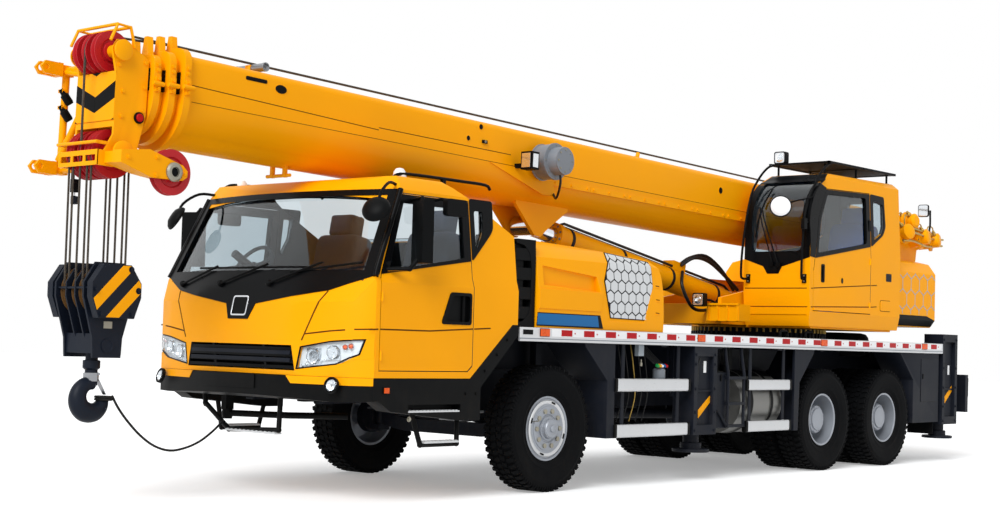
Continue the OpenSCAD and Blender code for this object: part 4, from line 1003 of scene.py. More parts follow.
def makeCabTrim():
    t = cabTrim
    kit = Kit("cabTrimBlack")
    panel(kit, t["mask"], cabFront, "gloss", 6, 14, holes=[t["opening"]], step=45, rows=(1680,))
    kit.finish("carrier", "trim_black")
    kit = Kit("cabSideTrim")
    for s in (1, -1):
        panel(kit, t["pillar"], cabSide(s), "gloss", 4, 8)
        kit.tube([cabCorner(s, 1702 + 34 * k) for k in range(21)], 0.022, "gloss", 12)
        for line in ([(610, 890), (1140, 890), (1140, 948), (560, 948)],
                [(1140, 890), (1248, 890), (1248, 948), (1140, 948)]):
            panel(kit, [(s * y, z) for y, z in line], bumperFace, "yellow", 5, 10)
        panel(kit, rounded(t["quarterMask"], 30), cabSide(s), "gloss", 4, 8,
                holes=[rounded(grownBy(t["quarterPane"], -6), 22)], rows=(1740,))
        # painted shade lines along the side creases of the cab
        panel(kit, ribbon([(2100, 1312), (2190, 1306)], 11), cabSide(s), "seamShade", 1.2, 3)
        panel(kit, ribbon([(1046, 1339), (853, 1350)], 11), cabSide(s), "seamShade", 1.2, 3)
        kit.box((1975, s * 1250, 838), (2025, s * 1262, 878), "amber")
        kit.box((1968, s * 1246, 832), (2032, s * 1256, 884), "black")
    kit.finish("carrier", "trim_black", 0.0015)
    kit = Kit("cabFrontShadedSeams")
    for s in (1, -1):
        # painted shade lines along the front panel seams
        line = [(s * 889, 1588), (s * 800, 1420), (s * 722, 1262), (s * 697, 1214)]
        panel(kit, ribbon(line, 12), cabFront, "seamShade", 1.5, 4)
        panel(kit, ribbon([(s * 722, 1262), (s * 960, 1290), (s * 1150, 1305), (s * 1238, 1310)], 11), cabFront, "seamShade",
                1.5, 4)
    for z in (1062, 1118):  # broad louvres over the grille
        panel(kit, [(-590, z - 15), (590, z - 15), (596, z + 15), (-596, z + 15)], cabFront, "navy", 3, 26, step=80)
    badge = rounded([(-92, 1548), (92, 1548), (92, 1392), (-92, 1392)], 24)
    panel(kit, badge, cabFront, "chrome", 12, 8, holes=[rounded([(-80, 1536), (80, 1536), (80, 1404), (-80, 1404)],
            18)], step=40)
    panel(kit, rounded([(-82, 1538), (82, 1538), (82, 1402), (-82, 1402)], 20), cabFront, "black", 8, 6, step=40)
    panel(kit, [(-430, 948), (240, 948), (240, 838), (-430, 838)], bumperFace, "black", 8, 10)
    kit.pipe([(2130, -420, 612), (1980, 150, 618), (1640, 470, 622)], 26, "black", 14)  # drag link to the steered axle
    kit.spin([(0, -45), (40, -45), (45, 0), (40, 45), (0, 45)], at(2130, -420, 612), (0, 0, 1), "black", 18)
    kit.box((2090, -450, 640), (2170, -390, 760), "black")
    kit.finish("carrier", "trim_black", 0.001)
    for side, s in (("left", 1), ("right", -1)):
        kit = Kit("door_" + side + "Trim")
        panel(kit, t["doorMask"], cabSide(s), "gloss", 4, 8, holes=[grownBy(t["doorPane"], -10)], rows=(1740,))
        panel(kit, rounded(t["handle"], 26), cabSide(s), "black", 7, 9, holes=[rounded(t["handleHole"], 30)], step=60)
        # painted shade line along the door crease
        panel(kit, ribbon([(2078, 1312), (1549, 1312), (1062, 1339)], 11), cabSide(s), "seamShade", 1.2, 3)
        panel(kit, [(1322, 1603), (1403, 1603), (1403, 1398)], cabSide(s), "yellow", 0.8, 5)
        kit.finish("cab_door_" + side, "trim_black", 0.0015)
        kit = Kit("door_" + side + "Glass")
        panel(kit, t["doorPane"], cabSide(s), "glass", -20, 5)
        kit.finish("cab_door_" + side, "glass")


makeCabTrim()
print("stage: cab trim fitted")


# lamps with bowls behind clear covers
headLamp = dict(outline=[(655, 1000), (690, 1165), (960, 1212), (1205, 1232), (1178, 1120), (1010, 1044)],
        filler=[(1210, 1240), (1248, 1240), (1248, 1096), (1060, 1052), (1180, 1116)],
        bowls=[(800, 1095, 58), (975, 1130, 52)], markers=[(1078, 1172), (1126, 1180)])


def lampBowl(kit, centre, axis, radius, deep):
    rim = [(radius, 0), (radius * 0.97, 0.004), (radius * 0.9, 0), (radius * 0.72, -deep * 0.55),
            (radius * 0.34, -deep), (0, -deep)]
    kit.turn(rim, centre, axis, "reflector", 28)
    kit.turn([(radius * 0.22, -deep), (radius * 0.22, -deep * 0.55), (radius * 0.12, -deep * 0.4), (0, -deep * 0.36)],
            centre, axis, "lens", 20)


def makeLamps():
    h = headLamp
    kit = Kit("headLamps")
    glassKit = Kit("lampCovers")
    for s in (1, -1):
        line = h["outline"] if s > 0 else flip(h["outline"])
        panel(kit, grownBy(line, 4), cabFront, "gloss", 3, 10, holes=[grownBy(line, -6)], step=60)
        panel(kit, [(s * y, z) for y, z in h["filler"]], cabFront, "yellow", 2, 20, step=60)
        panel(kit, line, cabFront, "cell", -26, 8, step=60)
        for y, z, r in h["bowls"]:
            spot = cabFront(s * y, z, -4)
            panel(kit, grownBy([(s * y - r, z - r), (s * y - r, z + r), (s * y + r, z + r), (s * y + r, z - r)], 6),
                    cabFront, "reflector", -18, 6, step=40)
            lampBowl(kit, spot, (0.97, s * 0.22, 0), r / 1000, 0.03)
        for y, z in h["markers"]:
            lampBowl(kit, cabFront(s * y, z, -8), (0.8, s * 0.6, 0), 0.021, 0.012)
            kit.spin([(12, -10), (12, 0), (0, 6)], cabFront(s * y, z, -8), (0.8, s * 0.6, 0), "amber", 14)
        for k in range(9):  # small day lamps along the lower edge
            kit.spin([(10, -30), (10, 0), (0, 4)], cabFront(s * (700 + 34 * k), 1024 + 8 * k, -10), (1, 0, 0),
                    "reflector", 12)
        panel(glassKit, grownBy(line, -2), cabFront, "lens", 0, 4, step=60)
        fog = at(2330, s * 1022, 886)
        axis = Vector((sin(radians(75)) * cos(radians(12)), s * sin(radians(75)) * sin(radians(12)), cos(radians(75))))
        kit.spin([(48, 0), (62, 4), (62, 26), (52, 30), (49, 22), (30, 4), (0, 0)], fog, axis, "black")
        kit.spin([(48, 18), (30, 8), (0, 6)], fog, axis, "reflector")
        glassKit.spin([(50, 20), (50, 24), (30, 30), (0, 33), (0, 20)], fog, axis, "lens")
        back = -7980
        kit.box((back, s * 980, 750), (back + 12, s * 1180, 970), "black")
        for k, name in enumerate(("redLens", "amber", "reflector")):
            kit.box((back - 8, s * 988, 760 + 68 * k), (back + 4, s * 1172, 822 + 68 * k), name)
    kit.finish("carrier", "lamp_clear", 0.0012, replaces=("lamps",))
    glassKit.finish("carrier", "lamp_clear")


makeLamps()
print("stage: lamps fitted")


# bolts, nuts and rivets: points with an aim and a size, grown by one node tree per body and finish
def boltTree():
    t, i, o = newTree("hexBolts", [("Geometry", "Geometry", None), ("Sides", "Int", 6), ("Height", "Float", 0.7),
            ("Washer", "Float", 1.45), ("Finish", "Material", None)])
    ins = i.outputs
    head = newNode(t, "GeometryNodeMeshCylinder", {"Vertices": ins["Sides"], "Radius": 1.0, "Depth": ins["Height"]})
    lifted = newNode(t, "GeometryNodeTransform", {"Geometry": head.outputs["Mesh"], "Translation": (0, 0, 0.5)})
    washer = newNode(t, "GeometryNodeMeshCylinder", {"Vertices": 14, "Radius": ins["Washer"], "Depth": 0.3})
    both = newNode(t, "GeometryNodeJoinGeometry")
    for part in (lifted.outputs[0], washer.outputs["Mesh"]):
        t.links.new(part, both.inputs[0])
    aim = newNode(t, "GeometryNodeInputNamedAttribute", {"Name": "aim"}, data_type="FLOAT_VECTOR")
    size = newNode(t, "GeometryNodeInputNamedAttribute", {"Name": "size"}, data_type="FLOAT")
    turn = newNode(t, "FunctionNodeAlignRotationToVector", {"Vector": aim.outputs[0]}, axis="Z")
    put = newNode(t, "GeometryNodeInstanceOnPoints", {"Points": ins["Geometry"], "Instance": both.outputs[0],
            "Rotation": turn.outputs[0], "Scale": size.outputs[0]})
    return endTree(t, o, put.outputs[0], ins["Finish"])


bolts = boltTree()
boltSpots = {}


def addBolt(body, finishKey, spot, aim, size):
    boltSpots.setdefault((body, finishKey), []).append((Vector(spot), Vector(aim), size))


def boltRing(body, key, centre, axis, radius, count, size, first=0):  # evenly round an upright or a crosswise axis
    for k in range(count):
        a = 2 * pi * (k + first) / count
        out = (cos(a), sin(a), 0) if axis[2] else (cos(a), 0, sin(a))
        addBolt(body, key, centre + Vector(out) * radius, axis, size)


def makeBolts():
    for (body, key), spots in boltSpots.items():
        seed = bpy.data.meshes.new("boltSeed")
        seed.from_pydata([s[0] for s in spots], [], [])
        seed.attributes.new("aim", "FLOAT_VECTOR", "POINT").data.foreach_set("vector", [c for s in spots for c in s[1]])
        seed.attributes.new("size", "FLOAT", "POINT").data.foreach_set("value", [s[2] for s in spots])
        mesh = grow(bolts, "bolts_" + body + "_" + key, {"Sides": 6, "Height": 0.7, "Washer": 1.45,
                "Finish": paints[key]}, seed)
        seat(linkMesh(mesh.name, mesh), body)


def bodyOf(node):
    return frame["nodes"][node]["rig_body"]


# engine hood: pressed panels, plain strip, hexagon panel, intake frames
hoodTrim = dict(cells=[(-770, 2060), (-1368, 2008), (-1374, 1774), (-1286, 1472), (-758, 1478), (-661, 1800)],
        cellSize=62, cellGap=7, strip=[(238, 1492), (-566, 1490), (-598, 1396), (238, 1398)],
        stripBack=[(240, 1500), (-604, 1498), (-662, 1384), (240, 1388)],
        lower=[(228, 1700), (-628, 1694), (-600, 1530), (228, 1534)], slits=[(-1452, 1790), (-1452, 1665),
        (-1452, 1545)], frame=[(504, 2095), (262, 2095), (252, 1980), (252, 1376), (504, 1376), (504, 1402),
        (404, 1420), (330, 1480), (306, 1570), (306, 1880), (330, 1985), (404, 2046), (504, 2060)])


def clipped(poly, keep):  # the part of an outline inside a convex one
    mid = Vector((sum(p[0] for p in keep) / len(keep), sum(p[1] for p in keep) / len(keep)))
    for a, b in zip(keep, keep[1:] + keep[:1]):
        def side(p):
            return (b[0] - a[0]) * (p[1] - a[1]) - (b[1] - a[1]) * (p[0] - a[0])
        sign = 1 if side(mid) > 0 else -1
        out = []
        for p, q in zip(poly, poly[1:] + poly[:1]):
            sp, sq = side(p) * sign, side(q) * sign
            if sp >= 0:
                out.append(p)
            if sp * sq < 0:
                t = sp / (sp - sq)
                out.append((p[0] + (q[0] - p[0]) * t, p[1] + (q[1] - p[1]) * t))
        poly = out
        if len(poly) < 3:
            return []
    return poly


def makeHood():
    h = hoodTrim
    r, gap = h["cellSize"], h["cellGap"]
    kit, cells, dark = Kit("hoodPressings"), Kit("hexPanel"), Kit("hoodDark")
    for s in (1, -1):
        skin = hoodSide(s, 1212)
        panel(dark, h["cells"], skin, "gloss", 6, 10, step=60, rows=(1500, 1720, 1960))
        inner = grownBy(h["cells"], -8)
        for row in range(-2, 9):
            for col in range(-1, 9):
                cx, cz = -640 - (col + 0.5 * (row % 2)) * r * 1.732, 1480 + row * r * 1.5
                cell = clipped([(cx + (r - gap) * sin(pi * k / 3), cz + (r - gap) * cos(pi * k / 3)) for k in range(6)],
                        inner)
                if len(cell) > 2 and abs(sum(a[0] * b[1] - b[0] * a[1] for a,
                        b in zip(cell, cell[1:] + cell[:1]))) > 900:
                    panel(cells, cell, skin, "cell", 9, 5, step=150, rows=(1500, 1720, 1960))
        skin = hoodSide(s)
        panel(kit, h["lower"], skin, "yellow", 9, 12, step=150, rows=(1500,))
        panel(dark, h["stripBack"], skin, "gloss", 3, 5, step=150)
        panel(dark, h["strip"], skin, "blue", 5, 4, step=150)
        for x, z in h["slits"]:
            # painted shade: the dark inside of each vent slit; the yellow strip below is a raised lip
            panel(dark, [(x - 28, z - 5), (x + 28, z - 2), (x + 28, z + 6), (x - 28, z + 3)], skin, "seamShade", 1.5, 3)
            panel(kit, [(x - 30, z - 19), (x + 28, z - 17), (x + 28, z - 9), (x - 30, z - 11)], skin, "yellow", 5, 6)
        kit.sheet("y", s * 1198, rounded(h["frame"], 16), s, 50, "black")
    kit.slab([at(205, -900, 2122), at(205, 900, 2122), at(-360, 880, 2100), at(-360, -880, 2100)], (0, 0, 1), 0.02,
            "yellow")
    for k in range(11):  # louvres on the hood top
        x = -480 - 62 * k
        z = 2092 - 4.5 * k
        kit.slab([at(x, -520, z + 12), at(x - 40, -520, z - 6), at(x - 40, 520, z - 6), at(x, 520, z + 12)],
                (0.3, 0, 1), 0.006, "black")
    kit.finish("carrier", "paint_hood", 0.004)
    cells.finish("carrier", "winch_metal", 0.0012)
    dark.finish("carrier", "trim_black", 0.001)


makeHood()
print("stage: hood dressed")


# deck rail tape, side fittings, posts, ladder and tank
railTape = dict(red=[(-117, 7), (-2417, 7), (-4677, 7), (-6900, 1)], pitch=305, size=147, low=1306, high=1359,
        amber=[176, -2121, -4387, -6664], slot=389)


def makeRails():
    r = railTape
    kit = Kit("railTape")
    for s in (1, -1):
        kit.box((80, s * 1249, r["low"] - 5), (-7100, s * 1251.2, r["high"] + 5), "white")
        for start, count in r["red"]:
            for k in range(count):
                x = start - r["pitch"] * k
                kit.box((x + r["size"] / 2, s * 1249, r["low"]), (x - r["size"] / 2, s * 1252.2, r["high"]), "redLens")
                addBolt("carrier", "redLens", at(x - r["size"] / 2 - 36, s * 1251, 1332), (0, s, 0), 0.005)
        for x in r["amber"]:
            kit.box((x + 62, s * 1249, r["low"] - 8), (x - 62, s * 1253, r["high"] + 8), "black")
            kit.box((x + 56, s * 1249, r["low"] - 4), (x - 56, s * 1262, r["high"] + 4), "amber")
        kit.box((r["slot"] + 62, s * 1249, 1312), (r["slot"] - 62, s * 1253, 1352), "black")
        kit.box((510, s * 1249, 1276), (-7138, s * 1251.5, 1284), "grey")
    kit.finish("carrier", "rail_silver", 0.0012)


def makePosts():
    for post in postNames:
        s = 1 if post.endswith("left") else -1
        x0, plate, top = ((-2220, [(-136, 797), (63, 659), (60, 581), (-139, 735)], 1240)
                if post.startswith("front") else (-7340, [(-126, 880), (63, 745), (60, 667), (-129, 815)], 1480))
        kit = Kit("beam_" + post + "Trim")
        if s < 0:
            plate = [(-a, b) for a, b in plate]
        kit.slab([at(x0 + a, s * 1209, b) for a, b in plate], (0, s, 0), 0.004, "yellow")
        kit.box((x0 - 128, s * 1204, 830), (x0 + 128, s * 1222, 850), "navy")
        kit.box((x0 - 60, s * 1204, 1010), (x0 - 16, s * 1208, 1120), "white")
        kit.pipe([(x0 + 96, s * 1216, 900), (x0 + 96, s * 1222, 1090), (x0 + 70, s * 1222, 1140)], 9, "hose")
        kit.finish(bodyOf("beam_" + post), "frame_dark", 0.0015)
        for dx in (-160, 160):
            for z in (470, 640, 860, 1090, top - 60):
                addBolt(bodyOf("beam_" + post), "navy", at(x0 + dx, s * 1245, z), (0, s, 0), 0.012)


sideGear = dict(caps=[("green", -1560), ("yellow", -1592), ("white", -1622), ("blue", -1656), ("redLens", -1690)],
        box=(-1257, 1184))


def makeSideGear():
    kit = Kit("sideGear")
    for s in (1, -1):
        for x in (-2660, -2940):  # ladder between the post and the tank
            kit.pipe([(x + 60, s * 1196, 1325), (x + 40, s * 1200, 1180), (x, s * 1205, 1000), (x, s * 1205, 486)], 16,
                    "navy")
        for z in (962, 715, 500):
            kit.box((-2955, s * 1180, z - 14), (-2645, s * 1222, z + 14), "navy")
        kit.pipe([(-2655, s * 1200, 500), (-2520, s * 1190, 640), (-2440, s * 1150, 700)], 14, "navy")
        kit.box((-2690, s * 1010, 480), (-2450, s * 1180, 1000), "navy")  # battery box before the tank
        kit.box((-2696, s * 1004, 985), (-2444, s * 1186, 1012), "navy")
        kit.box((-2580, s * 1180, 930), (-2560, s * 1190, 1000), "black")
        for key, x in sideGear["caps"]:
            kit.spin([(0, 0), (14, 2), (18, 20), (12, 40), (0, 44)], at(x, s * 1140, 1075), (0, s, -0.3), key, 14)
            kit.pipe([(x, s * 1122, 1084), (x + 40, s * 1060, 1150), (x + 130, s * 1000, 1260)], 6, "hose", 8)
        kit.spin([(0, 0), (50, 0), (58, 12), (58, 150), (45, 165), (0, 170)], at(-1640, s * 1120, 880), (0, 0, 1),
                "grey", 28)
        bx, bz = sideGear["box"]
        kit.box((bx - 40, s * 1150, bz - 30), (bx + 40, s * 1195, bz + 70), "line")
        kit.spin([(12, 0), (12, 30), (6, 34), (6, 60)], at(bx - 20, s * 1180, bz - 120), (0, 0, 1), "zinc", 12)
        for k in range(5):  # brake and control lines behind the guard tubes
            x = -1080 - 95 * k
            kit.pipe([(x, s * 1050, 1310), (x - 20, s * 1085, 1050), (x - 60, s * 1080, 800), (x - 30, s * 1040, 560)],
                    6, ("hose", "hose", "brass", "hose", "hose")[k], 8, steps=5)
    kit.spin([(0, 0), (58, 0), (58, 30), (50, 50), (50, 66), (0, 70)], at(-3330, -905, 1000), (0, -0.1, 1), "zinc", 28)
    for s in (1, -1):
        kit.box((-7000, s * 880, 320), (-7012, s * 1200, 640), "rubber")
        for x in (-3800, -4300):  # grab loops on the deck
            kit.pipe([(x - 70, s * 1120, 1368), (x - 70, s * 1120, 1420), (x - 50, s * 1120, 1440),
                    (x + 50, s * 1120, 1440), (x + 70, s * 1120, 1420), (x + 70, s * 1120, 1368)], 14, "black")
        for x0, x1, half in ((-1984, -838, 58), (-3784, -2956, 53)):  # round-edged guard tubes with end caps
            for z in (490, 895):
                def edge(x, grow):
                    return [at(x, s * y, h) for y, h in rounded([(1187 - grow, z - half - grow),
                            (1236 + grow, z - half - grow), (1236 + grow, z + half + grow),
                            (1187 - grow, z + half + grow)], 20)]
                kit.slab(edge(x1, 0), (1, 0, 0), (x1 - x0) / 1000, "alu")
                kit.slab(edge(x1 + 4, 3), (1, 0, 0), 0.034, "black")
                kit.slab(edge(x0 + 30, 3), (1, 0, 0), 0.034, "black")
        door = [(-6640, 700), (-7050, 700), (-7050, 1190), (-6640, 1190)]
        panel(kit, grownBy(door, 6), lambda x, z, d: at(x, s * (1224 + d), z), "gloss", 1, 3, step=300)
        panel(kit, door, lambda x, z, d: at(x, s * (1224 + d), z), "navy", 5, 6, step=300)
        kit.box((-6672, s * 1226, 960), (-6690, s * 1236, 1020), "black")
    kit.finish("carrier", "frame_dark", 0.002)


def makeSteps():
    kit = Kit("stepTreads")
    for s in (1, -1):
        kit.box((1186, s * 1165, 690), (1756, s * 1248, 702), "rail")
        for k in range(14):
            x = 1205 + 40 * k
            kit.box((x, s * 1170, 702), (x + 18, s * 1244, 707), "rail")
        kit.box((1165, s * 1145, 452), (1550, s * 1235, 466), "rail")
        for k in range(9):
            x = 1180 + 41 * k
            kit.box((x, s * 1150, 466), (x + 18, s * 1230, 471), "rail")
        for x, z in ((1000, 830), (900, 1010), (760, 1140), (640, 1260), (1120, 830)):
            addBolt("carrier", "black", at(x, s * 1250, z), (0, s, 0), 0.011)
        addBolt("carrier", "zinc", at(1720, s * 1222, 640), (0, s, 0), 0.014)
    kit.box((2215, -250, 486), (2285, 345, 500), "rail")
    for k in range(12):
        y = -240 + 50 * k
        kit.box((2220, y, 500), (2280, y + 20, 505), "rail")
    kit.finish("carrier", "rail_silver", 0.001)


makeRails()
makePosts()
makeSideGear()
makeSteps()
print("stage: carrier sides dressed")


# wheel hubs: nuts, hand holes drawn as painted shade, valve stems
hubForm = dict(nuts=10, frontRing=0.15, rearRing=0.168, nutSize=0.022, slots=4, slotRing=0.222)


def makeHubs():
    f = hubForm
    for wheel in wheelNames:
        axle, side = wheel.split("_")
        x, outer, _ = wheelSpots[axle]
        s = 1 if side == "left" else -1
        body = bodyOf("rim_" + wheel)
        front = axle == "front"
        face = outer + (112 if front else -102)
        ring = f["frontRing"] if front else f["rearRing"]
        out = Vector((0, s, 0))
        centre = at(x, s * face, 530)
        kit = Kit("rim_" + wheel + "Hub")
        boltRing(body, "zinc", centre, out, ring, f["nuts"], f["nutSize"])
        if front:
            kit.spin([(100, -4), (100, 8), (86, 12), (84, 40), (74, 54), (50, 58), (0, 60)], centre, out, "rim", 40)
            kit.spin([(32, 58), (32, 70), (24, 76), (0, 77)], centre, out, "rim", 24)
            kit.spin([(185, -2), (185, 6), (178, 8), (120, 8), (112, 0)], centre, out, "rim", 48)
            kit.spin([(205, -4), (214, 3), (232, 4), (240, -4)], centre, out, "alu", 48)
        else:
            hub = at(x, s * (outer + 30), 530)
            kit.spin([(150, -60), (148, 0), (140, 12), (118, 16), (114, 30), (60, 36), (0, 37)], hub, out, "rim", 40)
            boltRing(body, "rim", hub + out * 0.012, out, 0.131, 8, 0.008, 0.5)
        for k in range(f["slots"]):  # black strips as painted shade for the dark inside of slim hand slots near the edge
            turn = [2 * pi * (k + 0.2) / f["slots"] + 0.05 * (n - 2) for n in range(5)]
            kit.tube([centre + Vector((cos(a), 0, sin(a))) * f["slotRing"] + out * (0.001 if front else -0.008)
                    for a in turn], 0.009, "black", 8)
        kit.tube([centre + Vector((0.19, 0, 0.06)), centre + Vector((0.215, 0, 0.068)) + out * 0.05,
                centre + Vector((0.222, 0, 0.07)) + out * 0.09], 0.005, "zinc", 8)
        kit.finish(body, "rim_silver", 0.001)


makeHubs()
print("stage: hubs fitted")


# operator cab: glass masks, door furniture, bars, wipers, mirror
opForm = dict(half=[(1500, 1190), (1650, 1220), (2300, 1220), (3090, 1180), (3160, 1110)],
        front=[(1500, -4180), (1560, -4150), (1850, -4120), (2484, -4130), (3065, -4465), (3130, -4570)],
        filler=[(424, 2070), (1215, 2070), (1215, 2230), (887, 2140), (844, 2060), (708, 2060), (657, 2140),
        (424, 2215)], screenMask=[(424, 2203), (657, 2125), (708, 2046), (844, 2046), (887, 2120), (1215, 2215),
        (1205, 3052), (1118, 3052), (1112, 2330), (1098, 2296), (1060, 2280), (560, 2280), (524, 2294), (510, 2330),
        (506, 3052), (424, 3052)], doorMask=[(-4230, 2212), (-4309, 2642), (-4478, 2950), (-5411, 2980), (-5411, 2400)],
        doorPane=[(-4268, 2255), (-4355, 2640), (-4500, 2905), (-5335, 2935), (-5335, 2425)],
        pillar=[(-4222, 2214), (-4126, 2222), (-4131, 2640), (-4180, 2800), (-4289, 2950), (-4350, 3010), (-4484, 2966),
        (-4304, 2642)], quarterMask=[(-5425, 2400), (-5425, 2985), (-5740, 2975), (-5765, 2640), (-5700, 2545)],
        quarterPane=[(-5485, 2925), (-5485, 2470), (-5680, 2560), (-5725, 2640), (-5725, 2885)],
        rearPane=[(540, 2350), (1100, 2350), (1080, 2950), (560, 2950)])


def opSide(x, z, d):
    return at(x, along(opForm["half"], z) + d, z)


def opFront(y, z, d):
    x = -4670 + sqrt(545 ** 2 - (z - 2560) ** 2) if 2484 < z < 3065 else along(opForm["front"], z)
    return at(x + d, y, z)


def oval(u, v, a, b, n=18):
    return [(u + a * cos(2 * pi * k / n), v + b * sin(2 * pi * k / n)) for k in range(n)]


def plate(u, v, a, b, r=14):
    return rounded([(u - a, v - b), (u + a, v - b), (u + a, v + b), (u - a, v + b)], r)


def framed(kit, pane, where, grow=45):
    panel(kit, rounded(grownBy(pane, grow), 40), where, "gloss", 4, 8, holes=[rounded(grownBy(pane, -4), 30)])


def makeOpCab():
    f = opForm
    kit = Kit("opCabTrim")
    panel(kit, f["filler"], opFront, "yellow", 1, 20, step=60)
    panel(kit, f["screenMask"], opFront, "gloss", 5, 10, step=45)
    panel(kit, [(430, 3035), (1200, 3035), (1150, 3127), (480, 3127)], opFront, "gloss", 9, 14, step=45,
            rows=(3045, 3055, 3065, 3080, 3100))
    panel(kit, plate(776, 2088, 58, 26), opFront, "black", 12, 10, step=40)
    panel(kit, f["pillar"], opSide, "gloss", 4, 8, step=60, rows=(2300,))
    panel(kit, rounded(f["quarterMask"], 30), opSide, "gloss", 4, 8, holes=[rounded(grownBy(f["quarterPane"], -4), 30)])
    framed(kit, f["quarterPane"], lambda x, z, d: at(x, 420 - d, z))
    framed(kit, f["doorPane"], lambda x, z, d: at(x, 420 - d, z))
    framed(kit, f["rearPane"], lambda y, z, d: at(-6100 - d, y, z))
    # painted shade lines along the creases of the front and sides
    for z, rear in ((1893, 1978), (1700, 1742)):
        panel(kit, ribbon([(440, z), (1190, z)], 10), opFront, "seamShade", 1.5, 4)
        panel(kit, ribbon([(-5430, rear), (-5560, rear + 8)], 10), opSide, "seamShade", 1.5, 4)
        panel(kit, ribbon([(-4156, z), (-4192, z + 2)], 10), opSide, "seamShade", 1.5, 4)
    panel(kit, [(440, 1620), (1186, 1620), (1186, 1692), (440, 1692)], opFront, "yellow", 9, 14)
    panel(kit, plate(-5829, 2082, 62, 44), opSide, "navy", 3, 5)
    # painted shade ring round the raised plate
    panel(kit, plate(-5760, 1765, 120, 62, 26), opSide, "seamShade", 1, 3)
    panel(kit, plate(-5760, 1765, 114, 56, 24), opSide, "yellow", 7, 8)
    for base, tip in (((848, 2140), (630, 2718)), ((776, 2150), (590, 2754))):  # paired wiper arms
        line = [opFront(base[0] + (tip[0] - base[0]) * k / 6, base[1] + (tip[1] - base[1]) * k / 6, 26 - abs(k - 3) * 3)
                for k in range(7)]
        kit.tube(line, 0.007, "black", 8)
    kit.tube([opFront(560 + 10 * k, 2430 + 52 * k, 14) for k in range(11)], 0.010, "black", 8)
    kit.box((-4116, 835, 2120), (-4084, 880, 2160), "black")
    kit.box((-4116, 756, 2130), (-4084, 796, 2170), "black")
    disc, aim = at(-3900, 991, 2731), Vector((0.85, 0.5, 0.12))
    kit.spin([(0, 24), (60, 20), (94, 10), (107, 0), (107, -12), (100, -16)], disc, aim, "white", 36)
    kit.spin([(100, 4), (113, 3), (113, -15), (100, -17)], disc, aim, "black", 36)
    kit.spin([(100, -16), (0, -18)], disc, aim, "mirror", 36)
    kit.pipe([(-4230, 1178, 2850), (-4150, 1180, 2830), (-4010, 1090, 2790), (-3912, 996, 2745)], 9, "black", steps=4)
    kit.box((-4060, 1176, 2500), (-4000, 1216, 2610), "black")
    kit.pipe([(-4140, 1190, 2580), (-4050, 1196, 2570)], 8, "black")
    kit.finish(bodyOf("operator_cab"), "trim_black", 0.0015)
    kit = Kit("opDoorTrim")
    panel(kit, f["doorMask"], opSide, "gloss", 4, 8, holes=[rounded(grownBy(f["doorPane"], -5), 40)], step=60,
            rows=(2300,))
    # painted shade lines along the door creases
    panel(kit, ribbon([(-4202, 1897), (-5412, 1977)], 10), opSide, "seamShade", 1.2, 3)
    panel(kit, ribbon([(-4202, 1703), (-5412, 1742)], 10), opSide, "seamShade", 1.2, 3)
    panel(kit, [(-4206, 1668), (-4206, 1694), (-5408, 1733), (-5408, 1668)], opSide, "yellow", 8, 12, step=200)
    panel(kit, plate(-4385, 2060, 36, 96, 22), opSide, "black", 4, 5, holes=[plate(-4385, 2060, 22, 78, 14)], step=60)
    kit.pipe([(-4385, 1216, 1992), (-4385, 1228, 2030), (-4385, 1228, 2090), (-4385, 1216, 2128)], 8, "black")
    panel(kit, oval(-4792, 2000, 20, 30), opSide, "black", 4, 6)
    panel(kit, oval(-4792, 2000, 9, 15), opSide, "hose", 6, 4)
    kit.box((-5409, 1186, 2570), (-5372, 1216, 2690), "black")
    kit.finish(bodyOf("operator_door"), "trim_black", 0.0015)
    kit = Kit("opDoorGlass")
    panel(kit, f["doorPane"], opSide, "glass", -20, 5)
    kit.finish(bodyOf("operator_door"), "glass")


# roof guard with slats, hoops and lamp
def slatTree():
    t, i, o = newTree("guardSlats", [("Count", "Int", 10), ("Start", "Vector", None), ("Step", "Vector", None),
            ("Size", "Vector", None), ("Finish", "Material", None)])
    ins = i.outputs
    line = newNode(t, "GeometryNodeMeshLine", {"Count": ins["Count"], "Start Location": ins["Start"],
            "Offset": ins["Step"]})
    bar = newNode(t, "GeometryNodeMeshCube", {"Size": ins["Size"]})
    put = newNode(t, "GeometryNodeInstanceOnPoints", {"Points": line.outputs[0], "Instance": bar.outputs["Mesh"]})
    return endTree(t, o, put.outputs[0], ins["Finish"])


slatRow = slatTree()
guardForm = dict(low=(-6030, 440, 3240), high=(-4545, 1180, 3264), slats=22, hoops=[
    [(-4120, 480, 1996), (-4010, 480, 1990), (-3972, 480, 2040), (-3990, 480, 2300), (-4070, 480, 2680),
     (-4155, 480, 2917), (-4250, 480, 3040), (-4360, 480, 3145), (-4480, 480, 3222), (-4600, 480, 3252)],
    [(-4120, 1160, 1992), (-4075, 1160, 1986), (-4056, 1160, 2030), (-4062, 1160, 2300), (-4090, 1160, 2600),
     (-4170, 1160, 2800), (-4290, 1160, 2985), (-4430, 1160, 3140), (-4560, 1160, 3225), (-4680, 1160, 3252)]])


def slats(kit, count, start, step, size, mat):
    mesh = grow(slatRow, "slatRow", {"Count": count, "Start": start, "Step": step, "Size": size, "Finish": paints[mat]})
    first, index = len(kit.bm.faces), kit.matIndex(mat)
    kit.bm.from_mesh(mesh)
    kit.bm.faces.ensure_lookup_table()
    for face in kit.bm.faces[first:]:
        face.material_index = index


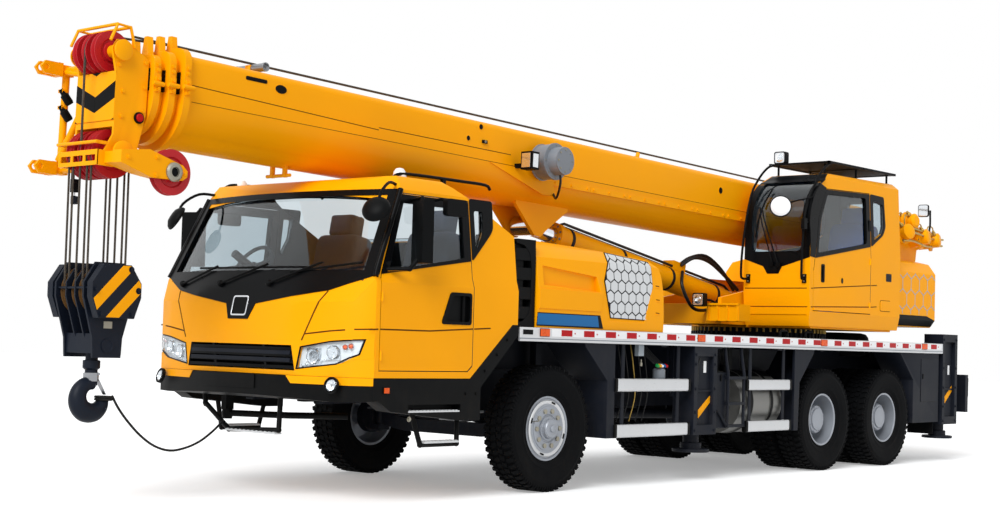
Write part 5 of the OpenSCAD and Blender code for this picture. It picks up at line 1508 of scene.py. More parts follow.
def makeGuard():
    f = guardForm
    kit = Kit("roofGuard")
    (x0, y0, z0), (x1, y1, z1) = f["low"], f["high"]
    for y in (y0, y1 - 32):
        kit.box((x0, y, z0), (x1, y + 32, z1), "black")
    for x in (x0, (x0 + x1) / 2 - 16, x1 - 32):
        kit.box((x, y0, z0 + 2), (x + 32, y1, z1 - 2), "black")
    gap = (y1 - y0 - 64) / (f["slats"] + 1)
    slats(kit, f["slats"], at((x0 + x1) / 2, y0 + 32 + gap, z0 + 14), (0, gap / 1000, 0),
            ((x1 - x0) / 1000 - 0.02, 0.016, 0.01), "black")
    for x, foot in ((-6000, 3148), (-5300, 3140), (-4630, 3130)):
        for y in (510, 1080):
            kit.pipe([(x, y, foot), (x, y, z0 + 6)], 12, "black")
            kit.spin([(0, 0), (30, 0), (30, 12), (0, 16)], at(x, y, foot - 6), (0, 0, 1), "black", 16)
    for route in f["hoops"]:
        kit.tube(smoothLine([at(*p) for p in route], 5), 0.0125, "black", 12)
        x, y, z = route[0]
        kit.box((x - 8, y - 22, z - 46), (x + 12, y + 22, z + 46), "black")
        for dz in (-28, 28):
            addBolt("upper", "zinc", at(x + 12, y, z + dz), (1, 0, 0), 0.007)
    shell = rounded([(462, 3268), (602, 3268), (602, 3402), (462, 3402)], 26)
    kit.sheet("x", -4608, shell, 1, 75, "black")
    kit.sheet("x", -4606, rounded(grownBy([(462, 3268), (602, 3268), (602, 3402), (462, 3402)], -12), 22), 1, 4,
            "reflector")
    kit.spin([(50, 0), (30, 10), (0, 14)], at(-4606, 532, 3335), (1, 0, 0), "lens", 24)
    kit.box((-4665, 520, 3250), (-4625, 545, 3272), "black")
    kit.finish(bodyOf("roof_guard"), "trim_black", 0.002, replaces=("roof_guard",))


makeOpCab()
makeGuard()
print("stage: operator cab dressed")


# slewing frame, winches, counterweight
upperGear = dict(ringBolts=40, ringRadius=0.712, studs=64, motors=[(-6700, 900, 2640, (0.3, 1, 0.2), 0.1),
        (-6880, 860, 2790, (0.1, 1, 0.1), 0.095), (-7090, 900, 2610, (-0.2, 1, 0.2), 0.1),
        (-7400, 880, 2600, (-0.3, 1, 0.1), 0.095)], coilRadius=0.205, coilPitch=0.018, coilHalf=0.262,
        drums=(-6050, -6660), cellSize=118, lineWidth=11)


def coilProfile(radius, half, pitch):
    pts = [(radius - 0.04, -half)]
    count = int(2 * half / pitch)
    for k in range(count):
        h = -half + (k + 0.5) * pitch
        pts += [(radius - 0.007, h - pitch * 0.5), (radius - 0.001, h - pitch * 0.25), (radius, h),
                (radius - 0.001, h + pitch * 0.25)]
    return pts + [(radius - 0.007, half), (radius - 0.04, half)]


def motor(kit, x, y, z, axis, r=0.085):
    spot, axis = at(x, y, z), Vector(axis).normalized()
    kit.turn([(0, -0.17), (r * 0.7, -0.17), (r * 0.75, -0.1), (r, -0.09), (r, 0.02), (r * 1.3, 0.03), (r * 1.3, 0.06),
            (r * 0.9, 0.07), (r * 0.9, 0.15), (r * 0.6, 0.17), (0, 0.17)], spot, axis, "yellow", 28)
    side = axis.orthogonal().normalized()
    for a in (0.02, -0.06, 0.11):
        kit.spin([(0, 0), (26, 0), (26, 30), (18, 36), (18, 60), (0, 60)], spot + axis * a + side * r * 0.95, side,
                "brass", 6)
    for k in range(6):
        turn = Matrix.Rotation(pi * k / 3, 3, axis) @ side
        addBolt("upper", "zinc", spot + turn * r * 1.12 + axis * 0.06, axis, 0.009)


def makeUpper():
    g = upperGear
    kit = Kit("upperGear")
    boltRing("upper", "brass", at(-5100, 0, 1500), (0, 0, 1), g["ringRadius"], g["ringBolts"], 0.015)
    for x in g["drums"]:
        kit.turn(coilProfile(g["coilRadius"], g["coilHalf"], g["coilPitch"]), at(x, 0, 1840), (0, 1, 0), "coil", 40)
    for k in range(g["studs"]):  # long studs under the ring flange
        a = 2 * pi * (k + 0.5) / g["studs"]
        spot = at(-5100, 0, 1437) + Vector((cos(a), sin(a), 0)) * 0.738
        kit.tube([spot, spot + Vector((0, 0, 0.044))], 0.013, "brass", 6)
    kit.box((-3765, 345, 1526), (-3545, 740, 1703), "yellow")
    for k in range(4):
        kit.box((-3545, 352 + 120 * k, 1530), (-3532, 374 + 120 * k, 1700), "yellow")
    kit.box((-3560, 345, 1690), (-3525, 740, 1712), "yellow")
    kit.pipe([(-3640, 420, 1705), (-3560, 390, 1740), (-3440, 360, 1745)], 12, "black")
    kit.sheet("x", -3390, rounded([(268, 1672), (408, 1672), (408, 1812), (268, 1812)], 24), 1, 70, "black")
    kit.sheet("x", -3387, rounded([(280, 1684), (396, 1684), (396, 1800), (280, 1800)], 20), 1, 4, "reflector")
    kit.spin([(45, 0), (30, 10), (0, 14)], at(-3387, 338, 1742), (1, 0, 0), "lens", 24)
    for s in (1, -1):  # boom foot pin covers
        kit.spin([(0, 30), (60, 30), (80, 12), (120, 10), (120, -20)], at(-6900, s * 395, 2450), (0, s, 0), "yellow")
        boltRing("upper", "zinc", at(-6900, s * 406, 2450), (0, s, 0), 0.1, 6, 0.01)
        for x in g["drums"]:
            kit.spin([(110, 0), (110, 20), (90, 30), (50, 34), (0, 34)], at(x, s * 383, 1840), (0, s, 0), "yellow", 28)
            boltRing("upper", "zinc", at(x, s * 404, 1840), (0, s, 0), 0.097, 8, 0.008)
    for x, y, z, axis, r in g["motors"]:
        motor(kit, x, y, z, axis, r)
    kit.sheet("y", 860, [(-6640, 2325), (-7170, 2325), (-7200, 2480), (-7490, 2550), (-7490, 2640), (-7200, 2650),
            (-7000, 2760), (-6980, 2850), (-6780, 2850), (-6760, 2700), (-6620, 2690)], 1, 24, "yellow")
    kit.box((-7150, 600, 2325), (-6660, 866, 2350), "yellow")
    for k, (y, z) in enumerate(((1010, 2700), (1030, 2650), (990, 2560))):  # brass lines between the motors
        kit.pipe([(-6600, y, z), (-6820, y + 10, z + 6), (-7060, y, z - 16), (-7280, y - 20, z - 30),
                (-7560 - 60 * k, y - 40, z - 40 + 20 * k)], 13, "brass", steps=4)
    for x, z in ((-6760, 2800), (-7040, 2720), (-7340, 2710)):
        kit.pipe([(x - 70, 960, z - 60), (x - 70, 960, z + 40), (x, 960, z + 62), (x + 70, 960, z + 40),
                (x + 70, 960, z - 60)], 8, "brass", 8, steps=4)
    for k in range(4):  # pressure lines over the counterweight
        y = 470 + 55 * k
        kit.pipe([(-6180, y, 2250), (-6200, y, 2400 + 20 * k), (-6420, y + 10, 2440 + 14 * k),
                (-6700, y + 40, 2430 + 10 * k), (-6900, y + 30, 2400), (-6980, y, 2340)], 16,
                ("hose", "brass", "hose", "hose")[k], steps=4)
    kit.pipe([(-7180, 850, 2560), (-7240, 900, 2660), (-7270, 985, 2720), (-7275, 990, 2960)], 12, "black", steps=4)
    kit.sheet("x", -7262, rounded([(838, 2884), (972, 2884), (972, 3032), (838, 3032)], 30), 1, 24, "black")
    kit.sheet("x", -7260, rounded([(846, 2892), (964, 2892), (964, 3024), (846, 3024)], 26), 1, 3, "mirror")
    for x in (-5710, -4970):  # cooling slats of the valve housing
        slats(kit, 9, at(x, -1123, 1571), (0, 0, 0.046), (0.5, 0.01, 0.022), "black")
    for x in (-5990, -5340, -4660):
        for z in (1540, 1990):
            addBolt("upper", "zinc", at(x, -1121, z), (0, -1, 0), 0.008)
    kit.box((-5400, -1128, 1960), (-5300, -1120, 1985), "black")
    for s in (1, -1):  # counterweight: plain hexagon lines, foot panel, eyes
        skin = lambda x, z, d: at(x, s * (along([(1555, 1090), (1640, 1150), (2180, 1150), (2300, 1060)], z) + d), z)
        c = g["cellSize"]
        keep = [(-6175, 1700), (-7105, 1700), (-7105, 2176), (-6175, 2176)]
        for row in range(4):
            for col in range(6):
                cx, cz = -6200 - (col + 0.5 * (row % 2)) * c * 1.732, 1690 + row * c * 1.5
                hexa = [(cx + c * sin(pi * k / 3), cz + c * cos(pi * k / 3)) for k in range(6)]
                for a, b in ((0, 1), (1, 2), (2, 3)):
                    edge = clipped(ribbon([hexa[a], hexa[b]], g["lineWidth"]), keep)
                    if edge:
                        panel(kit, edge, skin, "line", 1.6, 3, step=200)
        panel(kit, [(-6172, 1566), (-7108, 1566), (-7108, 1640), (-6900, 1688), (-6172, 1688)], skin, "black", 4, 6,
                step=120, rows=(1640,))
        for x in (-6360, -6960):
            kit.pipe([(x - 60, s * 800, 2330), (x - 60, s * 800, 2390), (x - 35, s * 800, 2420),
                    (x + 35, s * 800, 2420), (x + 60, s * 800, 2390), (x + 60, s * 800, 2330)], 18, "navy")
    kit.finish("upper", "winch_metal", 0.0015)
    lug, eye = at(-4500, 0, 1750), onBoom(5895, 0, -275)  # ends of the luffing cylinder
    u = (eye - lug).normalized()
    up, long = Vector((-u.z, 0, u.x)), (eye - lug).length
    kit, end = Kit("luffBarrel"), long - 0.4  # bored deep, so that the rod still sits in it at full luff
    kit.turn([(0, 0.06), (0.12, 0.06), (0.12, end - 0.08), (0.134, end - 0.08), (0.134, end), (0.0815, end),
            (0.0815, end - 0.06), (0.087, end - 0.06), (0.087, 0.112), (0, 0.112)], lug, u, "yellow", 64)
    for r, half in ((0.11, 0.132), (0.06, 0.19)):
        kit.turn([(0, -half), (r, -half), (r, half), (0, half)], lug, (0, 1, 0), "yellow", 48)
    kit.finish(bodyOf("luff_barrel"), "paint_yellow", 0.004, replaces=["luff_barrel"])
    kit = Kit("luffRod")
    kit.turn([(0, 0.116), (0.08, 0.116), (0.08, long - 0.06), (0, long - 0.06)], lug, u, "chrome", 64)
    kit.spin([(0, -112), (95, -112), (95, 112), (0, 112)], eye, (0, 1, 0), "chrome", 48)
    kit.finish(bodyOf("luff_rod"), "rod_chrome", 0.003, replaces=["luff_rod"])
    kit = Kit("luffPipes")
    for y, r in ((0.05, 0.014), (-0.05, 0.011)):
        side = Vector((0, y, 0))
        kit.tube([lug + u * 0.12 + up * 0.1 + side, lug + u * 0.22 + up * 0.14 + side,
                lug + u * (long - 0.5) + up * 0.14 + side, lug + u * (long - 0.45) + up * 0.118 + side], r, "hose")
    kit.hexa([lug + u * (1.0 + a) + Vector((0, b, 0)) + up * c for c in (0.1, 0.2) for b in (-0.07, 0.07)
            for a in (0, 0.22)], "yellow")  # lock valve on the barrel
    for y, high in ((0.1, 0.36), (0.15, 0.3)):
        side = Vector((0, y, 0))
        kit.tube(smoothLine([lug + u * 1.1 + up * 0.17 + side * 0.5, lug + u * 0.98 + up * 0.28 + side,
                lug + u * 0.7 + up * high + side, lug + u * 0.38 + up * (high - 0.08) + side,
                lug + u * 0.1 + up * 0.12 + side], 4), 0.02, "hose")
    kit.tube(smoothLine([lug + u * 1.12 + up * 0.1 + Vector((0, 0.12, 0)),
            lug + u * 1.2 - up * 0.08 + Vector((0, 0.2, 0)), lug + u * 1.0 - up * 0.26 + Vector((0, 0.22, 0)),
            lug + u * 0.7 - up * 0.22 + Vector((0, 0.2, 0)), lug + u * 0.5 - up * 0.1 + Vector((0, 0.12, 0))], 5),
            0.018, "hose")
    for k in range(4):
        spot = lug + u * (0.4 + (long - 1.0) * k / 3)
        kit.spin([(119, -20), (126, -20), (126, 20), (119, 20)], spot, u, "navy", 40)
    for k in range(10):
        turn = Matrix.Rotation(2 * pi * k / 10, 3, u) @ up
        addBolt(bodyOf("luff_barrel"), "zinc", lug + u * (long - 0.4) + turn * 0.108, u, 0.009)
    kit.finish(bodyOf("luff_barrel"), "winch_metal", 0.001)


makeUpper()
print("stage: upper structure dressed")


# boom: cover strips, openings filled with painted shade, reel, lamp, ropes, collars
boomTrim = dict(strip=(2420, 5918, 6), ropeHeight=655, ropeRadius=0.009,
        ovals=[(2320, 3140, 58, 34), (11, 3129, 24, 24), (172, 3012, 22, 22), (-3789, 2911, 34, 34)],
        slot=(2564, 3180, 105, 15), weldShadeLines=[((3167, 3053), (1257, 2953)), ((1257, 2972), (-400, 2926))],
        collars=[("boom_base", 10184, 362), ("boom_second", 10290, 323), ("boom_third", 10395, 284)],
        ropes=[("boom_base", 250, 9279), ("boom_second", 1000, 10290), ("boom_third", 1030, 10395),
        ("boom_head", 1060, 10657)])


def boomAt(x, z):
    t = radians(boomLine["tilt"])
    dx, dz = x - boomLine["pivotX"], z - boomLine["pivotZ"]
    return dx * cos(t) + dz * sin(t), dz * cos(t) - dx * sin(t)


def boomSide(s):
    return lambda x, z, d: onBoom(x, s * ((320 if z > 199 else sqrt(320 ** 2 - (199 - z) ** 2)) + d), z)


def makeBoom():
    b = boomTrim
    base = bodyOf("boom_base")
    kit = Kit("boomTrim")
    first, last, count = b["strip"]
    step = (last - first) / count
    for s in (1, -1):
        skin = boomSide(s)
        for k in range(count):
            x = first + step * k
            kit.boomBox((x + 3, s * 292, 92), (x + step - 3, s * 322, 150), "yellow")
            for dx in (50, step / 2, step - 50):
                addBolt(base, "yellow", onBoom(x + dx, s * 322, 121), (0, s, 0), 0.012)
        # painted shade: black fills stand for the dark inside of the openings, each in a yellow ring
        for x, z, a, c in b["ovals"]:
            u, v = boomAt(x, z)
            panel(kit, oval(u, v, a + 7, c + 7), skin, "yellow", 3, 5)
            panel(kit, oval(u, v, a, c), skin, "black", 4, 5)
        # painted shade: black fill for the dark inside of the slot
        x, z, a, c = b["slot"]
        panel(kit, plate(*boomAt(x, z), a, c, 14), skin, "black", 3, 4)
        # painted shade lines along the welds
        for p, q in b["weldShadeLines"]:
            panel(kit, ribbon([boomAt(*p), boomAt(*q)], 7), skin, "seamShade", 1, 3)
        # painted shade line along the kink where the flat side meets the round bottom
        panel(kit, ribbon([(120, 199), (10080, 199)], 5), skin, "seamShade", 0.8, 3, step=600)
        u, v = boomAt(-37, 3002)
        kit.boomBox((u - 30, s * 318, v - 14), (u + 30, s * 336, v + 14), "black")
        addBolt(base, "zinc", onBoom(u, s * 336, v), (0, s, 0), 0.008)
        # rope hook on the top plate
        kit.tube([onBoom(4580, s * 220, 534), onBoom(4480, s * 220, 556)], 0.012, "yellow", 12)
        kit.tube([onBoom(4486, s * 220, 536), onBoom(4470, s * 220, 596)], 0.02, "yellow", 14)
    reel = onBoom(6135, 312, 271.5)
    kit.spin([(122, 0), (122, 55), (168, 58), (168, 72), (140, 78), (140, 205), (168, 212), (168, 228), (128, 234),
            (128, 318), (116, 338), (50, 342), (0, 342)], reel, (0, 1, 0), "grey", 48)
    boltRing(base, "zinc", reel + Vector((0, 0.338, 0)), (0, 1, 0), 0.098, 8, 0.008)
    boltRing(base, "zinc", reel + Vector((0, 0.228, 0)), (0, 1, 0), 0.15, 8, 0.007)
    kit.boomBox((6484, 428, 169), (6490, 542, 313), "black")
    kit.boomBox((6488, 436, 177), (6493, 534, 305), "reflector")
    kit.boomBox((6400, 549, 180), (6470, 554, 302), "reflector")
    kit.pipe([(-775, 590, 2790), (-785, 590, 2700), (-830, 530, 2610), (-920, 430, 2575), (-1000, 340, 2610),
            (-1040, 275, 2690)], 11, "hose", steps=5)
    kit.boomBox((190, -62, 540), (330, 62, 560), "yellow")  # rope guide over the boom foot
    for s in (1, -1):
        kit.boomBox((200, s * 44, 556), (320, s * 60, 690), "yellow")
    kit.spin([(0, -50), (34, -50), (26, 0), (34, 50), (0, 50)], onBoom(260, 0, 612), (0, 1, 0), "sheave", 28)
    kit.spin([(0, -180), (36, -180), (36, -160), (33, -150), (33, 150), (36, 160), (36, 180), (0, 180)],
            onBoom(9279, 0, 614), (0, 1, 0), "steel", 28)
    kit.finish(base, "paint_yellow", 0.0015)
    for n, (node, start, end) in enumerate(b["ropes"]):  # each section carries its own length of the hoist rope
        kit = Kit(node + "Rope")
        z = b["ropeHeight"] + 0.4 * n
        line = [onBoom(start + (end - 660 - start) * k / 24, 0, z) for k in range(25)]
        if node == "boom_head":
            line += [onBoom(10657 + 134 * sin(a), 0, 482 + 134 * cos(a)) for a in [pi * k / 16 for k in range(9)]]
            line += [onBoom(10791 - 2 * k, 0, 482 - 91 * k) for k in range(1, 9)]
        else:
            line.append(onBoom(end, 0, z))
        kit.tube(line, b["ropeRadius"], "rope")
        kit.finish(bodyOf(node), "rope")
    for node, x, half in b["collars"]:
        kit = Kit(node + "Collar")
        for s in (1, -1):
            kit.boomBox((x - 54, s * (half - 8), 232), (x - 8, s * (half + 16), 342), "yellow")
            for z in (252, 322):
                addBolt(bodyOf(node), "yellow", onBoom(x - 31, s * (half + 16), z), (0, s, 0), 0.012)
            kit.tube([onBoom(x - 74, s * (half + 22), 287), onBoom(x + 22, s * (half + 22), 287)], 0.017, "yellow", 12)
            for z in (390, 430):
                addBolt(bodyOf(node), "yellow", onBoom(x - 31, s * half, z), (0, s, 0), 0.014)
            kit.boomBox((x - 2, s * (half - 76), 240), (x + 14, s * (half - 48), 400), "black")  # slide pads
            kit.boomBox((x - 2, s * 60, 211 + half - 66), (x + 14, s * 190, 211 + half - 40), "black")
        kit.finish(bodyOf(node), "paint_yellow", 0.002)


def makeHead():
    body = bodyOf("boom_head")
    kit = Kit("headTrim")
    front = lambda y, z, d: onBoom(10677 + d, y, z)
    board = [(-235, -15), (235, -15), (235, 335), (-235, 335)]
    panel(kit, board, front, "yellow", 8, 10, step=300)
    for z in (-219, 46, 311):
        for s in (1, -1):
            band = clipped([(0, z), (s * 240, z + 96), (s * 240, z + 219), (0, z + 114)], board)
            if band:
                panel(kit, band, front, "black", 10, 4, step=300)
    for s in (1, -1):
        kit.tube([onBoom(10545, s * 243, 520), onBoom(10590, s * 243, 660), onBoom(10700, s * 243, 664),
                onBoom(10752, s * 243, 540)], 0.012, "yellow")
        kit.boomBox((10660, s * 220, -350), (10802, s * 236, -240), "yellow")
        kit.boomBox((10670, s * 222, -200), (10812, s * 234, -176), "yellow")
        kit.spin([(75, 0), (75, 14), (50, 22), (0, 22)], onBoom(10657, s * 265, 482), (0, s, 0), "yellow", 30)
        kit.spin([(85, 0), (85, 16), (50, 30), (0, 30)], onBoom(10617, s * 275, -246), (0, s, 0), "yellow", 30)
        for x, z in ((10440, 430), (10440, 250), (10440, 80), (10620, 200), (10620, 20), (10560, -180), (10660, 380)):
            addBolt(body, "yellow", onBoom(x, s * 235, z), (0, s, 0), 0.014)
        kit.spin([(30, 0), (30, 20), (24, 26), (0, 28)], at(3568, s * 236, 2769), (0, s, 0), "redLens", 20)
        kit.spin([(42, 0), (42, 12), (30, 14)], at(3568, s * 236, 2769), (0, s, 0), "black", 20)
    for x, z in ((10590, 660), (10700, 664), (10810, -188)):
        kit.tube([onBoom(x, -243, z), onBoom(x, 243, z)], 0.012, "yellow", 12)
    fence = lambda y, z, d: onBoom(10800 + d, y, z)  # slotted fence before the lower sheaves
    panel(kit, [(-236, -350), (236, -350), (236, -240), (-236, -240)], fence, "yellow", 0, 12,
            holes=[plate(y, -298, 62, 22, 8) for y in (-150, 0, 150)], step=60)
    arm = [(10742, -335), (10742, -245), (10500, -215), (10210, -292), (10165, -330), (10165, -372), (10205, -402),
            (10480, -412)]
    kit.slab([onBoom(x, 440, z) for x, z in arm], (0, 1, 0), 0.018, "yellow")
    kit.slab([onBoom(x, 424, z) for x, z in [(10742, -335), (10742, -245), (10500, -218), (10472, -262), (10472, -392),
            (10500, -404)]], (0, 1, 0), 0.085, "yellow")
    for x, z in ((10190, -350), (10440, -260), (10680, -290), (10440, -390)):
        addBolt(body, "yellow", onBoom(x, 440, z), (0, 1, 0), 0.014)
    kit.pipe([(3690, -240, 2899), (3715, -530, 2487)], 26, "yellow", 14)
    kit.pipe([(3660, -240, 3100), (3690, -530, 3150)], 20, "yellow", 14)
    for z in (2990, 2868):  # plug sockets on the jib frame
        kit.spin([(0, -30), (18, -30), (20, 10), (32, 20), (32, 85), (26, 100), (0, 100)], at(3715, -505, z),
                (-0.5, 0.25, -0.8), "black", 20)
        kit.box((3690, -545, z), (3730, -490, z + 26), "yellow")
    hub = onBoom(10287, 440, -350)
    kit.spin([(70, 0), (70, 12), (56, 24), (36, 24), (32, 6), (0, 6)], hub, (0, 1, 0), "zinc", 28)
    kit.spin([(32, 7), (20, 12), (0, 12)], hub, (0, 1, 0), "black", 20)
    boltRing(body, "zinc", hub + Vector((0, 0.01, 0)), (0, 1, 0), 0.064, 6, 0.006)
    kit.box((3750, -235, 2235), (3800, -190, 2330), "black")  # hoist limit switch and its weight line
    kit.box((3770, -232, 2320), (3798, -223, 2412), "black")
    kit.pipe([(3775, -212, 2240), (3776, -212, 2205)], 5, "white", 8)
    kit.spin([(0, 0), (26, 4), (26, 60), (0, 66)], at(3776, -212, 2146), (0, 0, 1), "navy", 20)
    kit.finish(body, "paint_yellow", 0.002)


# sheaves with grooves, webs and hubs
sheaveForm = dict(top=(10657, 482, 0.136, (-110, 0, 110), 1), low=(10617, -246, 0.162, (-135, -85, 0, 85, 135), 0.8),
        side=(10287, -350, 0.152))


def sheaveProfile(r, wide=1):
    half = [(0.046, 0.026), (0.07, 0.026), (0.074, 0.013), (r - 0.05, 0.013), (r - 0.04, 0.024), (r + 0.014, 0.026),
            (r + 0.014, 0.02), (r - 0.012, 0.008)]
    half = [(a, h * wide) for a, h in half]
    return [(a, -h) for a, h in half] + half[::-1] + [(0.046, -0.026 * wide)]


def makeSheaves():
    f = sheaveForm
    kit = Kit("headSheaves")
    for key in ("top", "low"):
        x, z, r, rows, wide = f[key]
        for y in rows:
            kit.turn(sheaveProfile(r, wide), onBoom(x, y, z), (0, 1, 0), "red", 64)
    x, z, r = f["side"]
    kit.turn(sheaveProfile(r), onBoom(x, 390, z), (0, 1, 0), "red", 64)
    kit.spin([(0, -45), (50, -45), (50, 30), (0, 30)], onBoom(x, 390, z), (0, 1, 0), "zinc", 28)
    kit.finish(bodyOf("head_sheaves"), "sheave_red", 0.001, replaces=("head_sheaves",))


makeBoom()
makeHead()
makeSheaves()
print("stage: boom dressed")


# falls, hook block, hook latch
hookForm = dict(girth=[(0, 0.046), (60, 0.056), (110, 0.066), (165, 0.074), (210, 0.068), (250, 0.052), (276, 0.04),
        (284, 0.026), (286, 0.012)], x=3719.7, top=2500.5, block=1520.5, fall=158.5, rows=(-135, -85, 0, 85, 135),
        keep=0.592, cheek=[(-150, -190), (-205, -40), (-205, 60), (-115, 190), (115, 190), (205, 60), (205, -40),
        (150, -190)], side=[(-210, -40), (-210, 60), (-118, 205), (118, 205), (210, 60), (210, -40), (126, -330),
        (118, -470), (-118, -470), (-126, -330)], inner=[(-200, -40), (-200, 60), (-110, 195), (110, 195), (200, 60),
        (200, -40), (110, -330), (-110, -330)], bands=[(-205, 110), (30, 110)])


def makeHook():
    f = hookForm
    kit = Kit("ropeFalls")
    for y in f["rows"]:
        for s in (1, -1):
            kit.pipe([(f["x"] + s * f["fall"], y, f["block"] + (f["top"] - f["block"]) * k / 14) for k in range(15)], 8,
                    "rope")
    obj = kit.finish(bodyOf("rope_falls"), "rope", replaces=("rope_falls",))
    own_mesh(obj)
    body = bodyOf("hook_block")
    kit = Kit("hookBlock")
    axle = at(f["x"], 0, f["block"])
    for s in (1, -1):
        for key, y, thick in (("cheek", 275, 0.063), ("side", 180, 0.02), ("inner", 62, 0.014)):
            kit.slab([at(f["x"] + x, s * y, f["block"] + z) for x, z in f[key]], (0, s, 0), thick, "hook")
    kit.spin([(0, -275), (48, -275), (48, 275), (0, 275)], axle, (0, 1, 0), "hook", 28)
    kit.box((f["x"] - 110, -170, f["block"] - 440), (f["x"] + 110, 170, f["block"] - 300), "hook")
    for y in f["rows"]:
        kit.turn(sheaveProfile(0.162, 0.8), axle + Vector((0, y / 1000, 0)), (0, 1, 0), "sheave", 56)
    for s in (1, -1):
        skin = lambda x, z, d: at(f["x"] + x, s * (275 + d), f["block"] + z)
        panel(kit, f["cheek"], skin, "hook", 3, 5, step=400)
        for low, wide in f["bands"]:
            band = clipped([(-400, low + 400), (400, low - 400), (400, low - 400 + wide), (-400, low + 400 + wide)],
                    grownBy(f["cheek"], -6))
            panel(kit, band, skin, "yellow", 5, 4, step=400)
        for x, z in ((-112, 158), (-178, 10), (178, 10), (-128, -160), (128, -160)):
            addBolt(body, "hook", at(f["x"] + x, s * 280, f["block"] + z), (0, s, 0), 0.016)
        kit.spin([(50, 0), (50, 8), (40, 8), (38, 3), (0, 3)], at(f["x"], s * 180, f["block"] - 385), (0, s, 0), "hook",
                28)
        kit.box((f["x"] - 36, s * 179, f["block"] - 262), (f["x"] + 36, s * 182, f["block"] - 212), "zinc")
        kit.pipe([(f["x"] + s * 188, -268, f["block"] + 20), (f["x"] + s * 188, 268, f["block"] + 20)], 9, "hook")
    kit.finish(body, "hook_dark", 0.003, replaces=("hook_block",))
    kit = Kit("hookForged")
    z = f["block"] - 760
    middle = at(f["x"], 0, z)
    turns = [radians(100 - 286 * k / 40) for k in range(41)]
    girth = [along(f["girth"], 100 - degrees(a)) for a in turns]
    kit.tube([middle + Vector((cos(a) * 0.106, 0, sin(a) * 0.106)) for a in turns], girth, "hook", 24)
    kit.spin([(0, 90), (46, 90), (45, 200), (62, 215), (62, 268), (50, 270), (44, 272), (44, 319), (0, 319)], middle,
            (0, 0, 1), "hook", 28)
    tip = radians(181)  # knot of the tether round the point
    out = Vector((cos(tip), 0, sin(tip)))
    for k in range(2):
        ring = middle + out * 0.112 + Vector((0, 0, 0.018 * k - 0.009))
        kit.tube([ring + (out * cos(b) + Vector((0, 1, 0)) * sin(b)) * 0.058
                for b in [2 * pi * n / 24 for n in range(24)]], 0.009, "cord", 8, True)
    kit.slab([at(f["x"] - 30, -24, z + 170), at(f["x"] - 30, 24, z + 170), at(f["x"] - 122, 18, z + 26),
            at(f["x"] - 122, -18, z + 26)], (-0.84, 0, 0.54), 0.006, "steel")
    kit.pipe([(f["x"] - 36, -42, z + 172), (f["x"] - 36, 42, z + 172)], 11, "steel", 12)
    kit.spin([(46, -30), (58, -30), (58, 30), (46, 30)], at(f["x"], 0, z + 150), (0, 0, 1), "steel", 6)
    kit.finish(bodyOf("hook"), "hook_dark", 0, replaces=("hook",))


makeHook()
print("stage: hook dressed")


# seats as crowned pads with sewn channels, and the spare wheel
seatForm = dict(pads=[(265, 108, 2, (302, 268, 110)), (-62, 470, -78.6, (372, 264, 116)),
        (-145, 915, -80, (96, 144, 84))], channels=(-0.36, 0.36), places=[("cab_interior", "interior", "greySeat", 900,
        560, 1300), ("cab_interior", "interior", "greySeat", 900, -560, 1300),
        ("operator_interior", "seat_blue", "seat", -5630, 820, 1850)])
spareForm = dict(centre=(-6550, 0, 1333), half=0.138, radius=0.53, rim=0.272)


def pad(kit, x, y, z, lean, half, mat, n=14):
    t = radians(lean)
    axes = Vector((cos(t), 0, sin(t))), Vector((0, 1, 0)), Vector((-sin(t), 0, cos(t)))
    found, verts, faces = {}, [], []

    def point(p):
        key = tuple(round(v * n) for v in p)
        if key not in found:
            a, b, c = [v / sum(abs(q) ** 8 for q in p) ** 0.125 for v in p]
            a, b = a * (1 - 0.035 * (1 - b * b)), b * (1 - 0.035 * (1 - a * a))  # sides pull in between the corners
            if p[2] > 0.99:
                c += 0.13 * (1 - a * a) * (1 - b * b) - sum(0.07 * exp(-((a - s) / 0.05) ** 2)
                        for s in seatForm["channels"])
            found[key] = len(verts)
            verts.append(at(x, y, z) + sum((axis * v * h / 1000 for axis, v, h in zip(axes, (a, b, c), half)),
                    Vector()))
        return found[key]

    for side in range(3):
        for s in (1, -1):
            for i in range(n):
                for j in range(n):
                    quad = []
                    for di, dj in ((0, 0), (1, 0), (1, 1), (0, 1)):
                        p = [s, (i + di) * 2 / n - 1, (j + dj) * 2 / n - 1]
                        quad.append(point(p[-side:] + p[:-side] if side else p))
                    faces.append(quad if s > 0 else quad[::-1])
    kit.add(verts, faces, mat)


def makeSeats():
    for n, (node, slot, cloth, x, y, z) in enumerate(seatForm["places"]):
        kit = Kit(node + "Pads" + str(n))
        for u, v, lean, half in seatForm["pads"]:
            pad(kit, x + u, y, z + v, lean, half, cloth)
        kit.finish(bodyOf(node), slot)


def makeSpare():
    f = spareForm
    w, r = f["half"], f["radius"]
    kit = Kit("spareWheel")
    side = [(f["rim"] - 0.002, w - 0.036), (0.285, w - 0.014), (0.33, w - 0.006), (0.335, w - 0.002), (0.35, w - 0.002),
            (0.355, w - 0.006), (0.44, w), (0.495, w - 0.014), (r - 0.008, w - 0.05), (r, 0.05)]
    kit.turn([(a, -h) for a, h in side] + side[::-1] + [(side[0][0], -side[0][1])], at(*f["centre"]), (0, 0, 1),
            "rubber", 72)
    kit.spin([(90, 20), (225, 20), (245, -100), (272, -104), (272, 104), (250, 100), (236, 50), (90, 50)],
            at(*f["centre"]), (0, 0, 1), "rim", 56)
    kit.spin([(0, -143), (90, -143), (90, 55), (70, 60), (0, 60)], at(*f["centre"]), (0, 0, 1), "navy")
    boltRing("carrier", "zinc", at(*f["centre"]) + Vector((0, 0, 0.05)), (0, 0, 1), 0.16, 10, 0.016)
    kit.finish(bodyOf("spare_wheel"), "tyre", replaces=("spare_wheel",))


makeSeats()
makeSpare()
print("stage: seats and spare wheel set")


